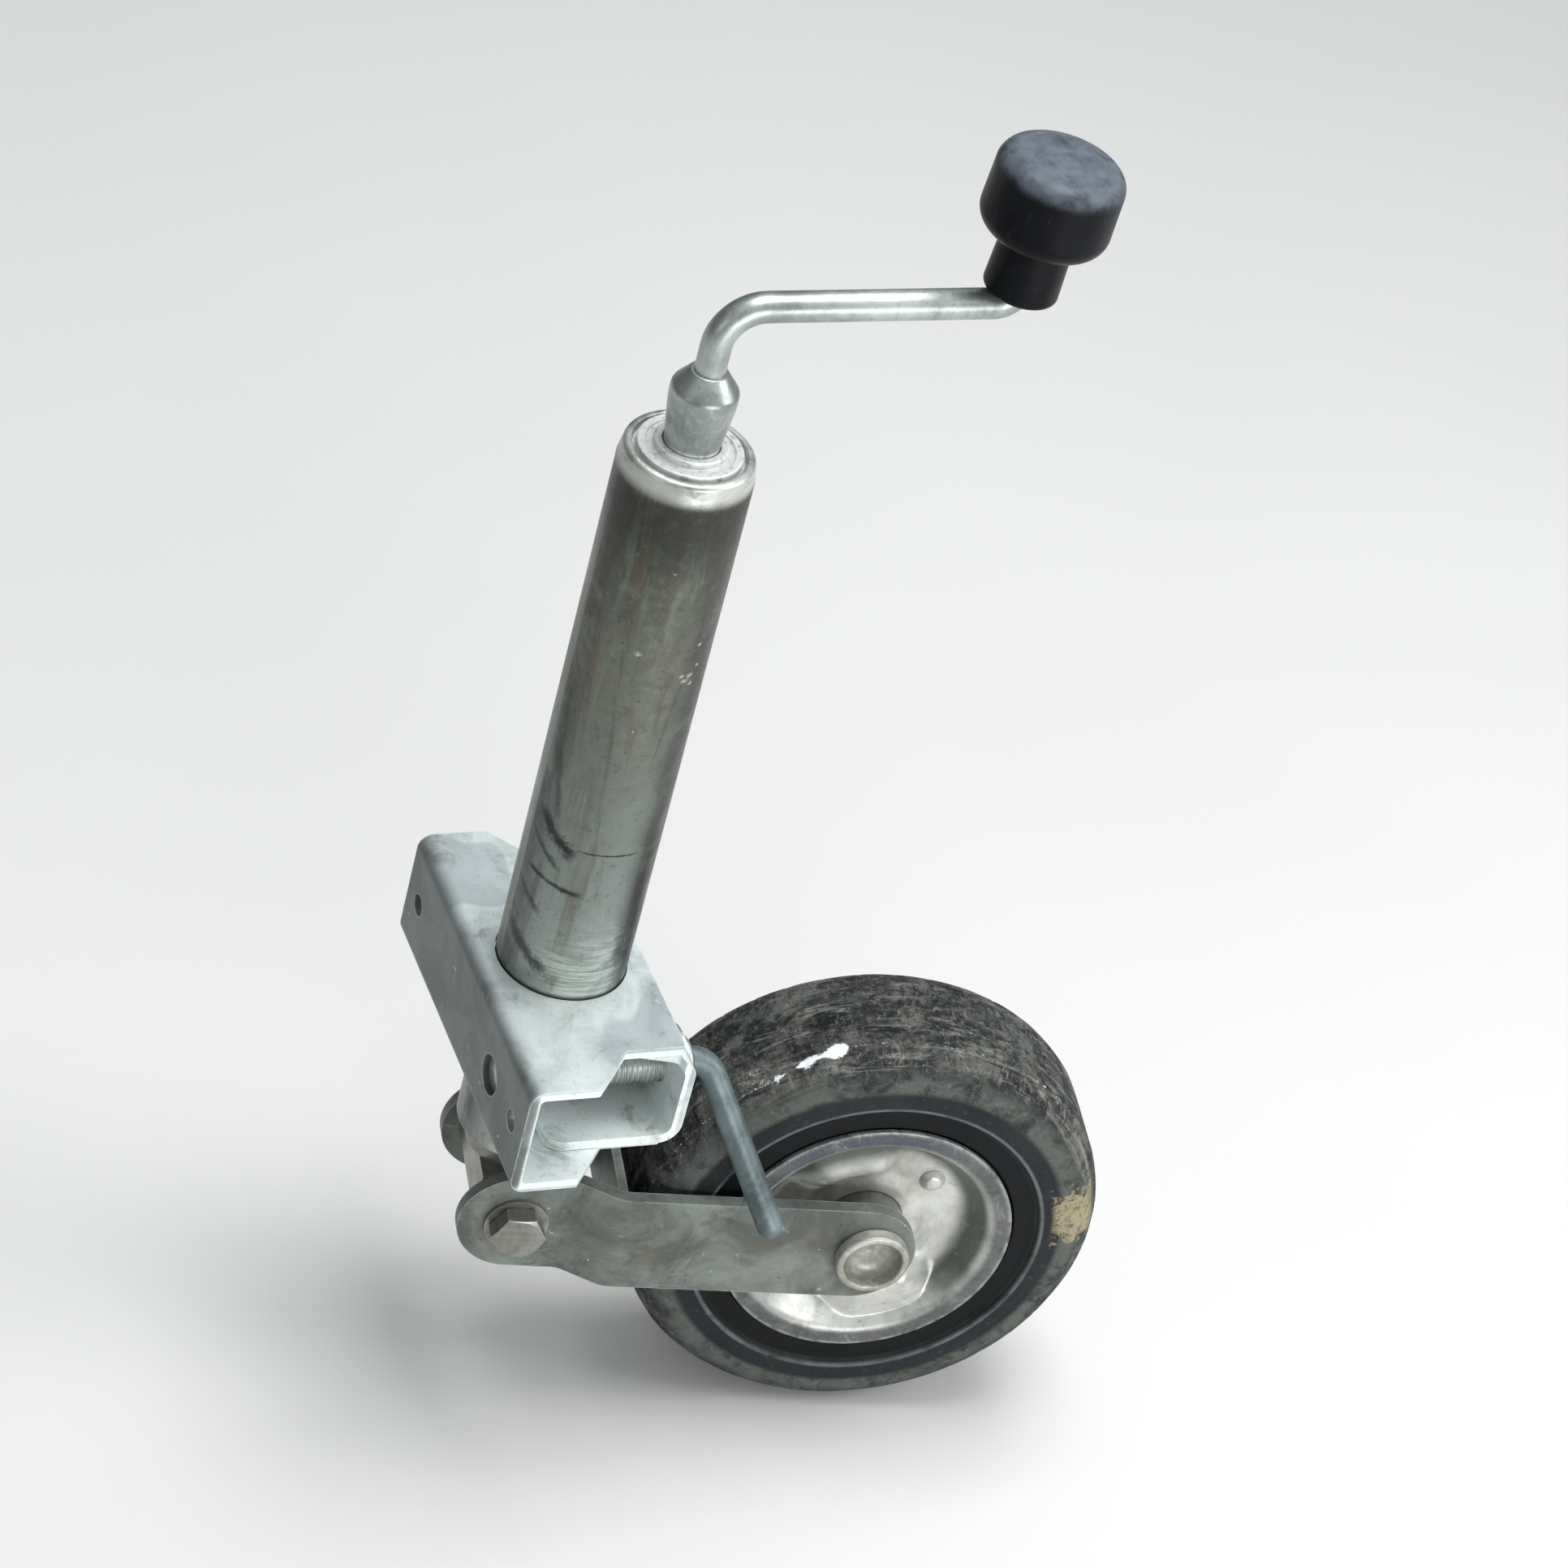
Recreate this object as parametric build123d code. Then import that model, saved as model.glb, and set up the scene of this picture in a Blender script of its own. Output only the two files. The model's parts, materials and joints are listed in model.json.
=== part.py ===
from build123d import *
import os
from math import radians, sqrt, tan

# Trailer jack wheel: a crank-driven jockey wheel in a 48 mm tube, held by a two-part screw clamp
# on a drawbar. Millimetres. The origin is the centre of the bracket's mounting face, +X points
# back along the trailer, +Y to its right-hand side and +Z up along the tube.

# --- driving dimensions -------------------------------------------------------------------------
TUBE_X = 33.0  # tube axis behind the mounting face
TUBE_R = 24.0
TUBE_WALL = 2.5
TUBE_BOTTOM = -56.0
TUBE_TOP = 252.0
TUBE_MOUTH_R = 19.8  # opening left by the rolled-over top edge

INNER_R = 19.0
INNER_WALL = 2.5
INNER_BOTTOM = -66.0
INNER_TOP = 170.0

CHANNEL_HEIGHT = 48.0
CHANNEL_HALF_LENGTH = 70.0
CHANNEL_REACH = 64.0
SHEET = 4.0  # bracket sheet thickness
CLIP_X = (26.0, 41.0)  # where the flange corners are cut off
CLIP_Y = 52.0
MOUNT_HOLE_R = 4.2
MOUNT_HOLE_Y = 58.0
TUBE_CLEARANCE = 0.4

JAW_BACK = 69.0  # outer face of the jaw's rear wall
JAW_FRONT = 18.0
JAW_HALF_LENGTH = 55.5
JAW_GAP = 0.3  # between the jaw's legs and the channel's flanges
JAW_HOLE_R = 24.9
JAW_HOLE_X = 33.4
JAW_TOP_EDGE = ((17.0, 38.0), (63.0, 51.6))  # oblique ends of the jaw's top leg

SCREW_R = 7.0  # M14 clamp screw
SCREW_Y = -33.0
SCREW_Z = -1.0
SCREW_TIP = 2.0
SCREW_FIT = 0.05
NUT_FLATS = 22.0
NUT_LENGTH = 11.0
WASHER_R = 14.0
WASHER_THICK = 2.5
COLLAR_R = 9.5
COLLAR_LENGTH = 4.0
HANDLE_R = 5.0
HANDLE_BEND_X = 84.0
HANDLE_END = (109.0, -67.5, -55.0)
HANDLE_BEND_R = 10.0

CRANK_BAR_R = 5.4
CRANK_Z = 309.0  # centre line of the horizontal arm
CRANK_REACH = 105.0
CRANK_BEND_R = 15.0
KNOB_BEND_R = 8.5
HUB_BASE_R = 9.6
HUB_BARREL_R = 11.8
HUB_BOTTOM = 245.5
HUB_TOP = 284.0
HUB_TAPER = (254.0, 272.0)  # the socket widens between these heights
ROD_BOTTOM = 268.0
HUB_PIN_R = 2.0
HUB_PIN_Z = 257.0
HUB_PIN_TURN = -27.0

SPINDLE_R = 8.0
SPINDLE_BOTTOM = -10.0
JOURNAL_R = 7.0
JOURNAL_TOP = 266.0
SHOULDER_R = 12.0
SHOULDER_Z = (232.0, 236.0)
RACE_TOP = 239.8
COVER_BOTTOM = 246.0
COVER_R = 18.5
COVER_TOP = 253.0
COVER_BOSS_R = 13.0
COVER_BOSS_TOP = 254.8
BALL_R = 3.0
BALL_COUNT = 10
BALL_CIRCLE_R = 14.5

KNOB_NECK_R = 13.2
KNOB_HEAD_R = 22.9
KNOB_CAP_R = 14.8
KNOB_HOLLOW_R = 10.5
KNOB_LEAN = 3.8  # degrees by which the bar's end leans away from the tube
KNOB_BOTTOM = 314.2
KNOB_SHOULDER = 336.5
KNOB_TOP = 366.8

FORK_YAW = -10.35  # the fork is turned this far about the tube axis
PIVOT_Z = -83.5
PIVOT_R = 6.0
AXLE_REACH = 135.0
STRAP = 5.0
STRAP_HALF_WIDTH = 22.0
STRAP_NARROW = 23.0  # half the gap between the straps at the pivot
STRAP_WIDE = 32.0  # half the gap between the straps at the wheel
JOGGLE = (20.0, 36.0)
STRAP_END_REACH = 130.0  # centre of the strap's rounded end
BRIDGE_GAP = 0.35  # weld gap at each end of the plate between the straps

AXLE_R = 10.0
AXLE_HEAD_R = 13.9
AXLE_CUP_R = 11.3
AXLE_CUP_DEPTH = 8.5
AXLE_HEAD_FACE = 42.8
BUSH_R = 12.5
HUB_TUBE_R = 15.0
HUB_HALF_LENGTH = 26.0

RIM_SHEET = 2.5
RIM_SEAT_R = 50.0
RIM_LIP_R = 55.6
RIM_LIP_OFFSET = 27.95
HUB_COLLAR_OFFSET = 17.0  # offsets of the disc's middle surface from the wheel's mid-plane
RIM_DISC_OFFSET = 15.0
RIM_BAND_HALF = 23.55
RIM_RIVET_R = 31.0
RIM_RIVET_TURN = 42.0
RIVET_R = 3.0
RIVET_HEAD_R = 5.0
TYRE_R = 91.0
TYRE_HALF_WIDTH = 29.5
TYRE_SHOULDER_R = 15.5
TYRE_STEP_R = 67.0

HALF_SHEET = SHEET / 2
TUBE = Pos(TUBE_X, 0, 0)
FORK = TUBE * Rot(0, 0, FORK_YAW)
# Pieces of the wheel and axle are drawn with their axis on Z, and +Z then faces the fork's left side.
WHEEL = FORK * Pos(AXLE_REACH, 0, PIVOT_Z) * Rot(90, 0, 0)
PIVOT = FORK * Pos(0, 0, PIVOT_Z) * Rot(90, 0, 0)
SCREW = Pos(0, SCREW_Y, SCREW_Z) * Rot(0, 90, 0)
# The knob's pieces are drawn upright on Z at their height and then lean about the arm's centre line.
KNOB = Pos(TUBE_X + CRANK_REACH, 0, CRANK_Z) * Rot(0, KNOB_LEAN, 0) * Pos(0, 0, -CRANK_Z)


# --- helpers ------------------------------------------------------------------------------------
def save(shape, name):
    """Write one sub-part to its own STEP file."""
    shape.label = name
    export_step(shape, f"parts/{name}.step")


def turned(*corners):
    """A solid of revolution about Z from (radius, height, corner rounding) corners."""
    points = [(radius, height) for radius, height, _ in corners]
    rounding = [blend for _, _, blend in corners]
    outline = FilletPolyline(*points, radius=rounding, close=True)
    return revolve(Plane.XZ * make_face(outline), Axis.Z)


def ring(inner, outer, low, high):
    """A plain ring about Z."""
    return Pos(0, 0, (low + high) / 2) * (
        Cylinder(outer, high - low) - Cylinder(inner, high - low)
    )


def rod(radius, low, high):
    """A plain cylinder on Z between two heights."""
    return Pos(0, 0, (low + high) / 2) * Cylinder(radius, high - low)


def hexagon(flats, low, high, bore):
    """A hexagonal nut or bolt head on Z with chamfered corners."""
    blank = extrude(RegularPolygon(flats / 2, 6, major_radius=False), high - low)
    corner = flats / sqrt(3)
    cone = turned(
        (0, 0, 0),
        (flats / 2 * 0.96, 0, 0),
        (corner, (corner - flats / 2) * tan(radians(30)), 0),
        (corner, high - low - (corner - flats / 2) * tan(radians(30)), 0),
        (flats / 2 * 0.96, high - low, 0),
        (0, high - low, 0),
    )
    solid = Pos(0, 0, low) * (blank & cone)
    return solid - rod(bore, low - 1, high + 1) if bore else solid


def bent_sheet(points, bends, thickness, half_length):
    """A folded strip: its section in the XZ plane runs the given half length to both sides in Y."""
    section = trace(FilletPolyline(*points, radius=bends), line_width=thickness)
    return extrude(Plane.XZ * section, half_length, both=True)


def plan_block(points, corners, half_height):
    """A block with the given plan outline and corner roundings."""
    outline = make_face(FilletPolyline(*points, radius=corners, close=True))
    return extrude(outline, half_height, both=True)


# --- clamp bracket ------------------------------------------------------------------------------
def mount_channel():
    """Front half of the clamp: a channel whose web bolts to the drawbar."""
    middle = CHANNEL_HEIGHT / 2 - HALF_SHEET
    section = [
        (CHANNEL_REACH, middle),
        (HALF_SHEET, middle),
        (HALF_SHEET, -middle),
        (CHANNEL_REACH, -middle),
    ]
    body = bent_sheet(section, [SHEET, SHEET], SHEET, CHANNEL_HALF_LENGTH)
    outline = [
        (-1, -CHANNEL_HALF_LENGTH),
        (CLIP_X[0], -CHANNEL_HALF_LENGTH),
        (CLIP_X[1], -CLIP_Y),
        (CHANNEL_REACH, -CLIP_Y),
        (CHANNEL_REACH, CLIP_Y),
        (CLIP_X[1], CLIP_Y),
        (CLIP_X[0], CHANNEL_HALF_LENGTH),
        (-1, CHANNEL_HALF_LENGTH),
    ]
    body &= plan_block(outline, [0, 1.5, 1.5, 1.5, 1.5, 1.5, 1.5, 0], CHANNEL_HEIGHT)
    body -= TUBE * Cylinder(TUBE_R + TUBE_CLEARANCE, 2 * CHANNEL_HEIGHT)
    across = Rot(0, 90, 0)
    for side in (-1, 1):
        body -= Pos(0, side * MOUNT_HOLE_Y, 0) * across * Cylinder(MOUNT_HOLE_R, 4 * SHEET)
    return body - SCREW * Cylinder(SCREW_R + 0.6, 4 * SHEET)


def clamp_nut():
    """Hexagonal nut welded inside the web, around the clamp screw."""
    return SCREW * hexagon(NUT_FLATS, SHEET, SHEET + NUT_LENGTH, SCREW_R + SCREW_FIT)


def clamp_jaw():
    """Rear half of the clamp: a nested channel whose forked legs pull the tube forward."""
    middle = CHANNEL_HEIGHT / 2 - SHEET - JAW_GAP - HALF_SHEET
    wall = JAW_BACK - HALF_SHEET
    section = [(JAW_FRONT, middle), (wall, middle), (wall, -middle), (JAW_FRONT, -middle)]
    body = bent_sheet(section, [6.0, 6.0], SHEET, JAW_HALF_LENGTH)
    outline = [
        (JAW_FRONT, -JAW_HALF_LENGTH),
        (JAW_BACK + 1, -JAW_HALF_LENGTH),
        (JAW_BACK + 1, JAW_HALF_LENGTH),
        (JAW_FRONT, JAW_HALF_LENGTH),
    ]
    body &= plan_block(outline, [7.0, 0, 0, 7.0], CHANNEL_HEIGHT)
    near, far = JAW_TOP_EDGE
    beyond = JAW_HALF_LENGTH + 5.0
    for side in (-1, 1):
        corners = [(near[0], near[1]), (far[0], far[1]), (far[0] + 3.0, beyond), (near[0], beyond)]
        outline = [(x, side * y) for x, y in corners]
        body -= Pos(0, 0, middle) * plan_block(outline, [0, 2.0, 0, 0], SHEET)
    body -= Pos(JAW_HOLE_X, 0, 0) * Cylinder(JAW_HOLE_R, 2 * CHANNEL_HEIGHT)
    return body - SCREW * rod(SCREW_R + 0.2, JAW_BACK - 2 * SHEET, JAW_BACK + 1)


def clamp_washer():
    """Plain washer between the jaw and the screw's collar."""
    return SCREW * ring(SCREW_R + 0.2, WASHER_R, JAW_BACK, JAW_BACK + WASHER_THICK)


def clamp_screw():
    """Threaded shank with a collar that pushes the jaw."""
    collar = JAW_BACK + WASHER_THICK
    return SCREW * turned(
        (0, SCREW_TIP, 0),
        (SCREW_R - 1.2, SCREW_TIP, 0),
        (SCREW_R, SCREW_TIP + 1.2, 0),
        (SCREW_R, collar, 0),
        (COLLAR_R, collar, 0),
        (COLLAR_R, collar + COLLAR_LENGTH, 1.5),
        (0, collar + COLLAR_LENGTH, 0),
    )


def clamp_handle():
    """Bent round bar welded to the collar, with a rounded free end."""
    start = (JAW_BACK + WASHER_THICK + COLLAR_LENGTH, SCREW_Y, SCREW_Z)
    bend = (HANDLE_BEND_X, SCREW_Y, SCREW_Z)
    path = FilletPolyline(start, bend, HANDLE_END, radius=[HANDLE_BEND_R])
    bar = sweep(Plane(origin=start, z_dir=(1, 0, 0)) * Circle(HANDLE_R), path=path)
    return bar + Pos(*HANDLE_END) * Sphere(HANDLE_R)


# --- outer tube and its bearing -----------------------------------------------------------------
def outer_tube():
    """48 mm tube with its top edge rolled over."""
    inside = TUBE_R - TUBE_WALL
    return TUBE * turned(
        (inside, TUBE_BOTTOM, 0),
        (TUBE_R, TUBE_BOTTOM, 0.5),
        (TUBE_R, TUBE_TOP - 7.5, 9.0),
        (TUBE_R - 1.4, TUBE_TOP, 2.0),
        (TUBE_MOUTH_R, TUBE_TOP, 0.6),
        (TUBE_MOUTH_R, TUBE_TOP - TUBE_WALL, 0),
        (inside, TUBE_TOP - TUBE_WALL, 1.5),
    )


def bearing_cover():
    """Upper bearing seat, caught under the rolled edge; its boss shows as a ring round the hub."""
    flange = TUBE_R - TUBE_WALL - 0.05
    ledge = TUBE_TOP - TUBE_WALL - 0.1
    return TUBE * turned(
        (HUB_BASE_R + 0.5, COVER_BOTTOM, 0),
        (flange, COVER_BOTTOM, 0),
        (flange, ledge, 1.6),
        (COVER_R, ledge, 0),
        (COVER_R, COVER_TOP, 0.6),
        (COVER_R - 3.0, COVER_TOP, 0.4),
        (COVER_R - 3.0, COVER_TOP - 0.8, 0.3),
        (COVER_BOSS_R, COVER_TOP - 0.8, 0.3),
        (COVER_BOSS_R, COVER_BOSS_TOP, 0.8),
        (HUB_BASE_R + 0.5, COVER_BOSS_TOP, 0.5),
    )


def ball_places():
    """The balls' places on their circle about the tube axis."""
    height = RACE_TOP + BALL_R + 0.1
    return [
        TUBE * Rot(0, 0, 360 / BALL_COUNT * index) * Pos(BALL_CIRCLE_R, 0, height)
        for index in range(BALL_COUNT)
    ]


def thrust_balls():
    """The ring of balls that carries the load between cover and race."""
    return Compound([place * Sphere(BALL_R) for place in ball_places()])


def ball_cage():
    """Flat ring that keeps the balls apart."""
    middle = RACE_TOP + BALL_R + 0.1
    cage = TUBE * ring(BALL_CIRCLE_R - 4.2, BALL_CIRCLE_R + 4.2, middle - 0.8, middle + 0.8)
    for place in ball_places():
        cage -= place * Cylinder(BALL_R + 0.05, 8)
    return cage


def lower_guide_bush():
    """Sleeve in the foot of the outer tube in which the inner tube slides."""
    return TUBE * ring(
        INNER_R + 0.1, TUBE_R - TUBE_WALL - 0.05, TUBE_BOTTOM + 1.0, TUBE_BOTTOM + 31.0
    )


# --- crank and spindle --------------------------------------------------------------------------
def hub_pin_axis():
    """The roll pin lies across the hub."""
    return TUBE * Pos(0, 0, HUB_PIN_Z) * Rot(0, 0, HUB_PIN_TURN) * Rot(0, 90, 0)


def spindle():
    """Lifting screw: thread, thrust shoulder and the journal that carries the hub."""
    body = TUBE * turned(
        (0, SPINDLE_BOTTOM, 0),
        (SPINDLE_R - 1.5, SPINDLE_BOTTOM, 0),
        (SPINDLE_R, SPINDLE_BOTTOM + 1.5, 0),
        (SPINDLE_R, SHOULDER_Z[0], 0),
        (SHOULDER_R, SHOULDER_Z[0], 0),
        (SHOULDER_R, SHOULDER_Z[1], 0),
        (SPINDLE_R, SHOULDER_Z[1], 0),
        (SPINDLE_R, HUB_BOTTOM, 0),
        (JOURNAL_R, HUB_BOTTOM, 0),
        (JOURNAL_R, JOURNAL_TOP, 0.8),
        (0, JOURNAL_TOP, 0),
    )
    return body - hub_pin_axis() * Cylinder(HUB_PIN_R, 4 * SPINDLE_R)


def bearing_race():
    """Lower bearing washer, seated on the spindle's shoulder."""
    return TUBE * ring(SPINDLE_R, BALL_CIRCLE_R + 4.2, SHOULDER_Z[1], RACE_TOP)


def crank_hub():
    """Socket that joins the crank bar to the spindle."""
    body = TUBE * turned(
        (JOURNAL_R, HUB_BOTTOM, 0),
        (HUB_BASE_R, HUB_BOTTOM, 0.5),
        (HUB_BASE_R, HUB_TAPER[0], 30.0),
        (HUB_BARREL_R, HUB_TAPER[1], 30.0),
        (HUB_BARREL_R, HUB_TOP - 7.0, 3.5),
        (CRANK_BAR_R + 1.0, HUB_TOP, 0.8),
        (CRANK_BAR_R, HUB_TOP, 0),
        (CRANK_BAR_R, ROD_BOTTOM, 0),
        (JOURNAL_R, ROD_BOTTOM, 0),
    )
    return body - hub_pin_axis() * Cylinder(HUB_PIN_R, 4 * HUB_BARREL_R)


def hub_pin():
    """Slotted roll pin through hub and spindle."""
    return hub_pin_axis() * (
        Cylinder(HUB_PIN_R, 2 * HUB_BASE_R + 0.6) - Cylinder(HUB_PIN_R / 2, 4 * HUB_BASE_R)
    )


def crank_arm():
    """One round bar: out of the hub, along the arm and up into the knob."""
    tip = KNOB * Pos(0, 0, KNOB_SHOULDER - 1.0)
    points = [
        (TUBE_X, 0, ROD_BOTTOM),
        (TUBE_X, 0, CRANK_Z),
        (TUBE_X + CRANK_REACH, 0, CRANK_Z),
        tip.position,
    ]
    path = FilletPolyline(*points, radius=[CRANK_BEND_R, KNOB_BEND_R])
    return sweep(Plane(origin=points[0], z_dir=(0, 0, 1)) * Circle(CRANK_BAR_R), path=path)


def knob_retainer():
    """Push-on washer on the bar's end that keeps the knob on."""
    return KNOB * ring(CRANK_BAR_R, 9.0, KNOB_SHOULDER - 3.2, KNOB_SHOULDER - 2.0)


def crank_knob():
    """Mushroom-shaped knob that turns on the upright end of the crank bar."""
    bore = CRANK_BAR_R + 0.1
    return KNOB * turned(
        (CRANK_BAR_R + 2.0, KNOB_BOTTOM, 0),
        (KNOB_NECK_R, KNOB_BOTTOM, 2.0),
        (KNOB_NECK_R - 0.6, KNOB_SHOULDER, 2.5),
        (KNOB_HEAD_R, KNOB_SHOULDER, 7.5),
        (KNOB_HEAD_R - 0.5, KNOB_TOP - 0.6, 7.0),
        (KNOB_CAP_R, KNOB_TOP, 0),
        (KNOB_CAP_R, KNOB_TOP - 3.0, 0),
        (KNOB_HOLLOW_R, KNOB_TOP - 3.0, 0),
        (KNOB_HOLLOW_R, KNOB_SHOULDER - 3.8, 0),
        (bore, KNOB_SHOULDER - 3.8, 0),
        (bore, KNOB_BOTTOM + 5.0, 0),
        (CRANK_BAR_R + 2.0, KNOB_BOTTOM + 3.0, 0),
    )


def knob_cap():
    """Slightly domed disc that closes the top of the knob."""
    return KNOB * turned(
        (0, KNOB_TOP - 3.0, 0),
        (KNOB_CAP_R, KNOB_TOP - 3.0, 0),
        (KNOB_CAP_R, KNOB_TOP - 0.05, 0),
        (9.0, KNOB_TOP + 0.8, 8.0),
        (0, KNOB_TOP + 1.0, 0),
    )


# --- inner tube ---------------------------------------------------------------------------------
def inner_tube():
    """The tube that the spindle drives down to lift the drawbar."""
    return TUBE * ring(INNER_R - INNER_WALL, INNER_R, INNER_BOTTOM, INNER_TOP)


def spindle_nut():
    """Threaded nut pressed into the top of the inner tube."""
    return TUBE * ring(SPINDLE_R + 0.05, INNER_R - INNER_WALL, INNER_TOP - 24.0, INNER_TOP)


def upper_guide_ring():
    """Plastic ring that centres the inner tube's top in the outer tube."""
    return TUBE * ring(INNER_R, TUBE_R - TUBE_WALL - 0.1, INNER_TOP - 12.0, INNER_TOP - 2.0)


def pivot_block():
    """Plug welded in the inner tube's foot, with a cross boss for the fork's pivot bolt."""
    half = STRAP_NARROW - 0.3
    boss_r = 15.0
    plug = FORK * rod(INNER_R - INNER_WALL, INNER_BOTTOM, INNER_BOTTOM + 16.0)
    drop = INNER_BOTTOM - PIVOT_Z
    neck = FORK * Pos(0, 0, PIVOT_Z + drop / 2) * Box(2 * boss_r, 2 * half, drop)
    boss = PIVOT * Cylinder(boss_r, 2 * half)
    return plug + neck + boss - PIVOT * Cylinder(PIVOT_R + 0.1, 4 * half)


# --- fork ---------------------------------------------------------------------------------------
def fork_strap(side):
    """Flat bar from the pivot to the axle, stepped outward to clear the tyre."""
    back = -STRAP_HALF_WIDTH
    front = STRAP_END_REACH + STRAP_HALF_WIDTH
    middle = STRAP / 2
    line = [
        (back - 1, side * (STRAP_NARROW + middle)),
        (JOGGLE[0], side * (STRAP_NARROW + middle)),
        (JOGGLE[1], side * (STRAP_WIDE + middle)),
        (front + 1, side * (STRAP_WIDE + middle)),
    ]
    band = extrude(
        trace(FilletPolyline(*line, radius=[12.0, 12.0]), line_width=STRAP),
        2 * STRAP_HALF_WIDTH,
        both=True,
    )
    middle_reach = STRAP_END_REACH / 2
    outline = SlotCenterToCenter(STRAP_END_REACH, 2 * STRAP_HALF_WIDTH)
    profile = extrude(Plane.XZ * Pos(middle_reach, 0) * outline, 60, both=True)
    place = FORK * Pos(0, 0, PIVOT_Z)
    strap = place * (band & profile)
    strap -= PIVOT * Cylinder(PIVOT_R, 100)
    return strap - WHEEL * Cylinder(AXLE_R, 100)


def fork_bridge():
    """Plate welded between the straps that keeps them square."""
    place = FORK * Pos(JOGGLE[1] + 3.0, 0, PIVOT_Z)
    return place * Box(3.5, 2 * (STRAP_WIDE - BRIDGE_GAP), 28.0)


def pivot_bolt():
    """Bolt through straps and pivot block."""
    under_head = STRAP_NARROW + STRAP + 1.5
    shank = rod(PIVOT_R, -under_head - 12.0, under_head)
    return PIVOT * (shank + hexagon(18.0, under_head, under_head + 7.5, 0))


def pivot_nut():
    """Lock nut on the pivot bolt, on the fork's right side."""
    under = STRAP_NARROW + STRAP + 1.5
    return PIVOT * hexagon(18.0, -under - 10.0, -under, PIVOT_R)


def pivot_washers():
    """A washer under the bolt head and one under the nut."""
    face = STRAP_NARROW + STRAP
    washers = [
        ring(PIVOT_R, 12.0, face, face + 1.5),
        ring(PIVOT_R, 12.0, -face - 1.5, -face),
    ]
    return Compound([PIVOT * washer for washer in washers])


def axle_rivet():
    """Solid axle whose ends are spread over the straps into cupped heads."""
    under = STRAP_WIDE + STRAP
    floor = AXLE_HEAD_FACE - AXLE_CUP_DEPTH
    return WHEEL * turned(
        (0, -floor, 0),
        (AXLE_CUP_R - 1.6, -floor - 1.0, 5.5),
        (AXLE_CUP_R, -AXLE_HEAD_FACE, 0.8),
        (AXLE_HEAD_R, -AXLE_HEAD_FACE, 1.2),
        (AXLE_HEAD_R, -under, 0.8),
        (AXLE_R, -under, 0),
        (AXLE_R, under, 0),
        (AXLE_HEAD_R, under, 0.8),
        (AXLE_HEAD_R, AXLE_HEAD_FACE, 1.2),
        (AXLE_CUP_R, AXLE_HEAD_FACE, 0.8),
        (AXLE_CUP_R - 1.6, floor + 1.0, 5.5),
        (0, floor, 0),
    )


def axle_washers():
    """Thrust washers between the straps and the wheel's hub."""
    washers = [
        ring(AXLE_R, 16.0, HUB_HALF_LENGTH + 2.5, STRAP_WIDE),
        ring(AXLE_R, 16.0, -STRAP_WIDE, -HUB_HALF_LENGTH - 2.5),
    ]
    return Compound([WHEEL * washer for washer in washers])


# --- wheel --------------------------------------------------------------------------------------
def rim_half(side):
    """Pressed disc of one side: hub collar, flat for the rivets, dished wall and outward lip."""
    line = [
        (HUB_TUBE_R, HUB_COLLAR_OFFSET),
        (18.5, HUB_COLLAR_OFFSET),
        (23.5, RIM_DISC_OFFSET),
        (40.0, RIM_DISC_OFFSET),
        (49.0, RIM_LIP_OFFSET),
        (RIM_LIP_R, RIM_LIP_OFFSET),
    ]
    section = trace(FilletPolyline(*line, radius=[3.0, 3.0, 6.8, 4.0]), line_width=RIM_SHEET)
    body = revolve(Plane.XZ * section, Axis.Z)
    if side > 0:
        body = Rot(180, 0, 0) * body
    for angle in (RIM_RIVET_TURN, RIM_RIVET_TURN + 180):
        body -= Rot(0, 0, angle) * Pos(RIM_RIVET_R, 0, 0) * Cylinder(RIVET_R, 60)
    return WHEEL * body


def rim_band():
    """Rolled band between the two discs, on which the tyre sits."""
    return WHEEL * ring(RIM_SEAT_R - RIM_SHEET, RIM_SEAT_R, -RIM_BAND_HALF, RIM_BAND_HALF)


def rim_rivets():
    """Two long rivets that hold the discs together."""
    face = RIM_DISC_OFFSET + RIM_SHEET / 2
    head = turned(
        (0, face, 0),
        (RIVET_HEAD_R, face, 0),
        (RIVET_HEAD_R, face + 0.8, 0),
        (RIVET_R, face + 3.0, 2.5),
        (0, face + 3.4, 0),
    )
    rivets = []
    for angle in (RIM_RIVET_TURN, RIM_RIVET_TURN + 180):
        place = WHEEL * Rot(0, 0, angle) * Pos(RIM_RIVET_R, 0, 0)
        rivets.append(place * (Cylinder(RIVET_R, 2 * face) + head + Rot(180, 0, 0) * head))
    return Compound(rivets)


def hub_tube():
    """Steel tube that joins the rim halves at the hub."""
    return WHEEL * ring(BUSH_R, HUB_TUBE_R, -HUB_HALF_LENGTH, HUB_HALF_LENGTH)


def hub_bush():
    """Nylon bearing sleeve that turns on the axle."""
    return WHEEL * ring(AXLE_R + 0.1, BUSH_R, -HUB_HALF_LENGTH - 2.0, HUB_HALF_LENGTH + 2.0)


def tyre():
    """Solid rubber tyre with a raised ring on each side and rounded shoulders."""
    bore = RIM_SEAT_R + 0.05
    side = [
        (bore, 19.5, 0),
        (bore + 1.5, 23.5, 0),
        (RIM_LIP_R + 0.7, 25.3, 0),
        (RIM_LIP_R + 0.7, 28.0, 0),
        (TYRE_STEP_R - 1.0, 28.0, 0),
        (TYRE_STEP_R, TYRE_HALF_WIDTH, 0.7),
        (TYRE_R, TYRE_HALF_WIDTH - 2.0, TYRE_SHOULDER_R),
    ]
    other = [(radius, -height, blend) for radius, height, blend in reversed(side)]
    return WHEEL * turned(*side, *other)


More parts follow.
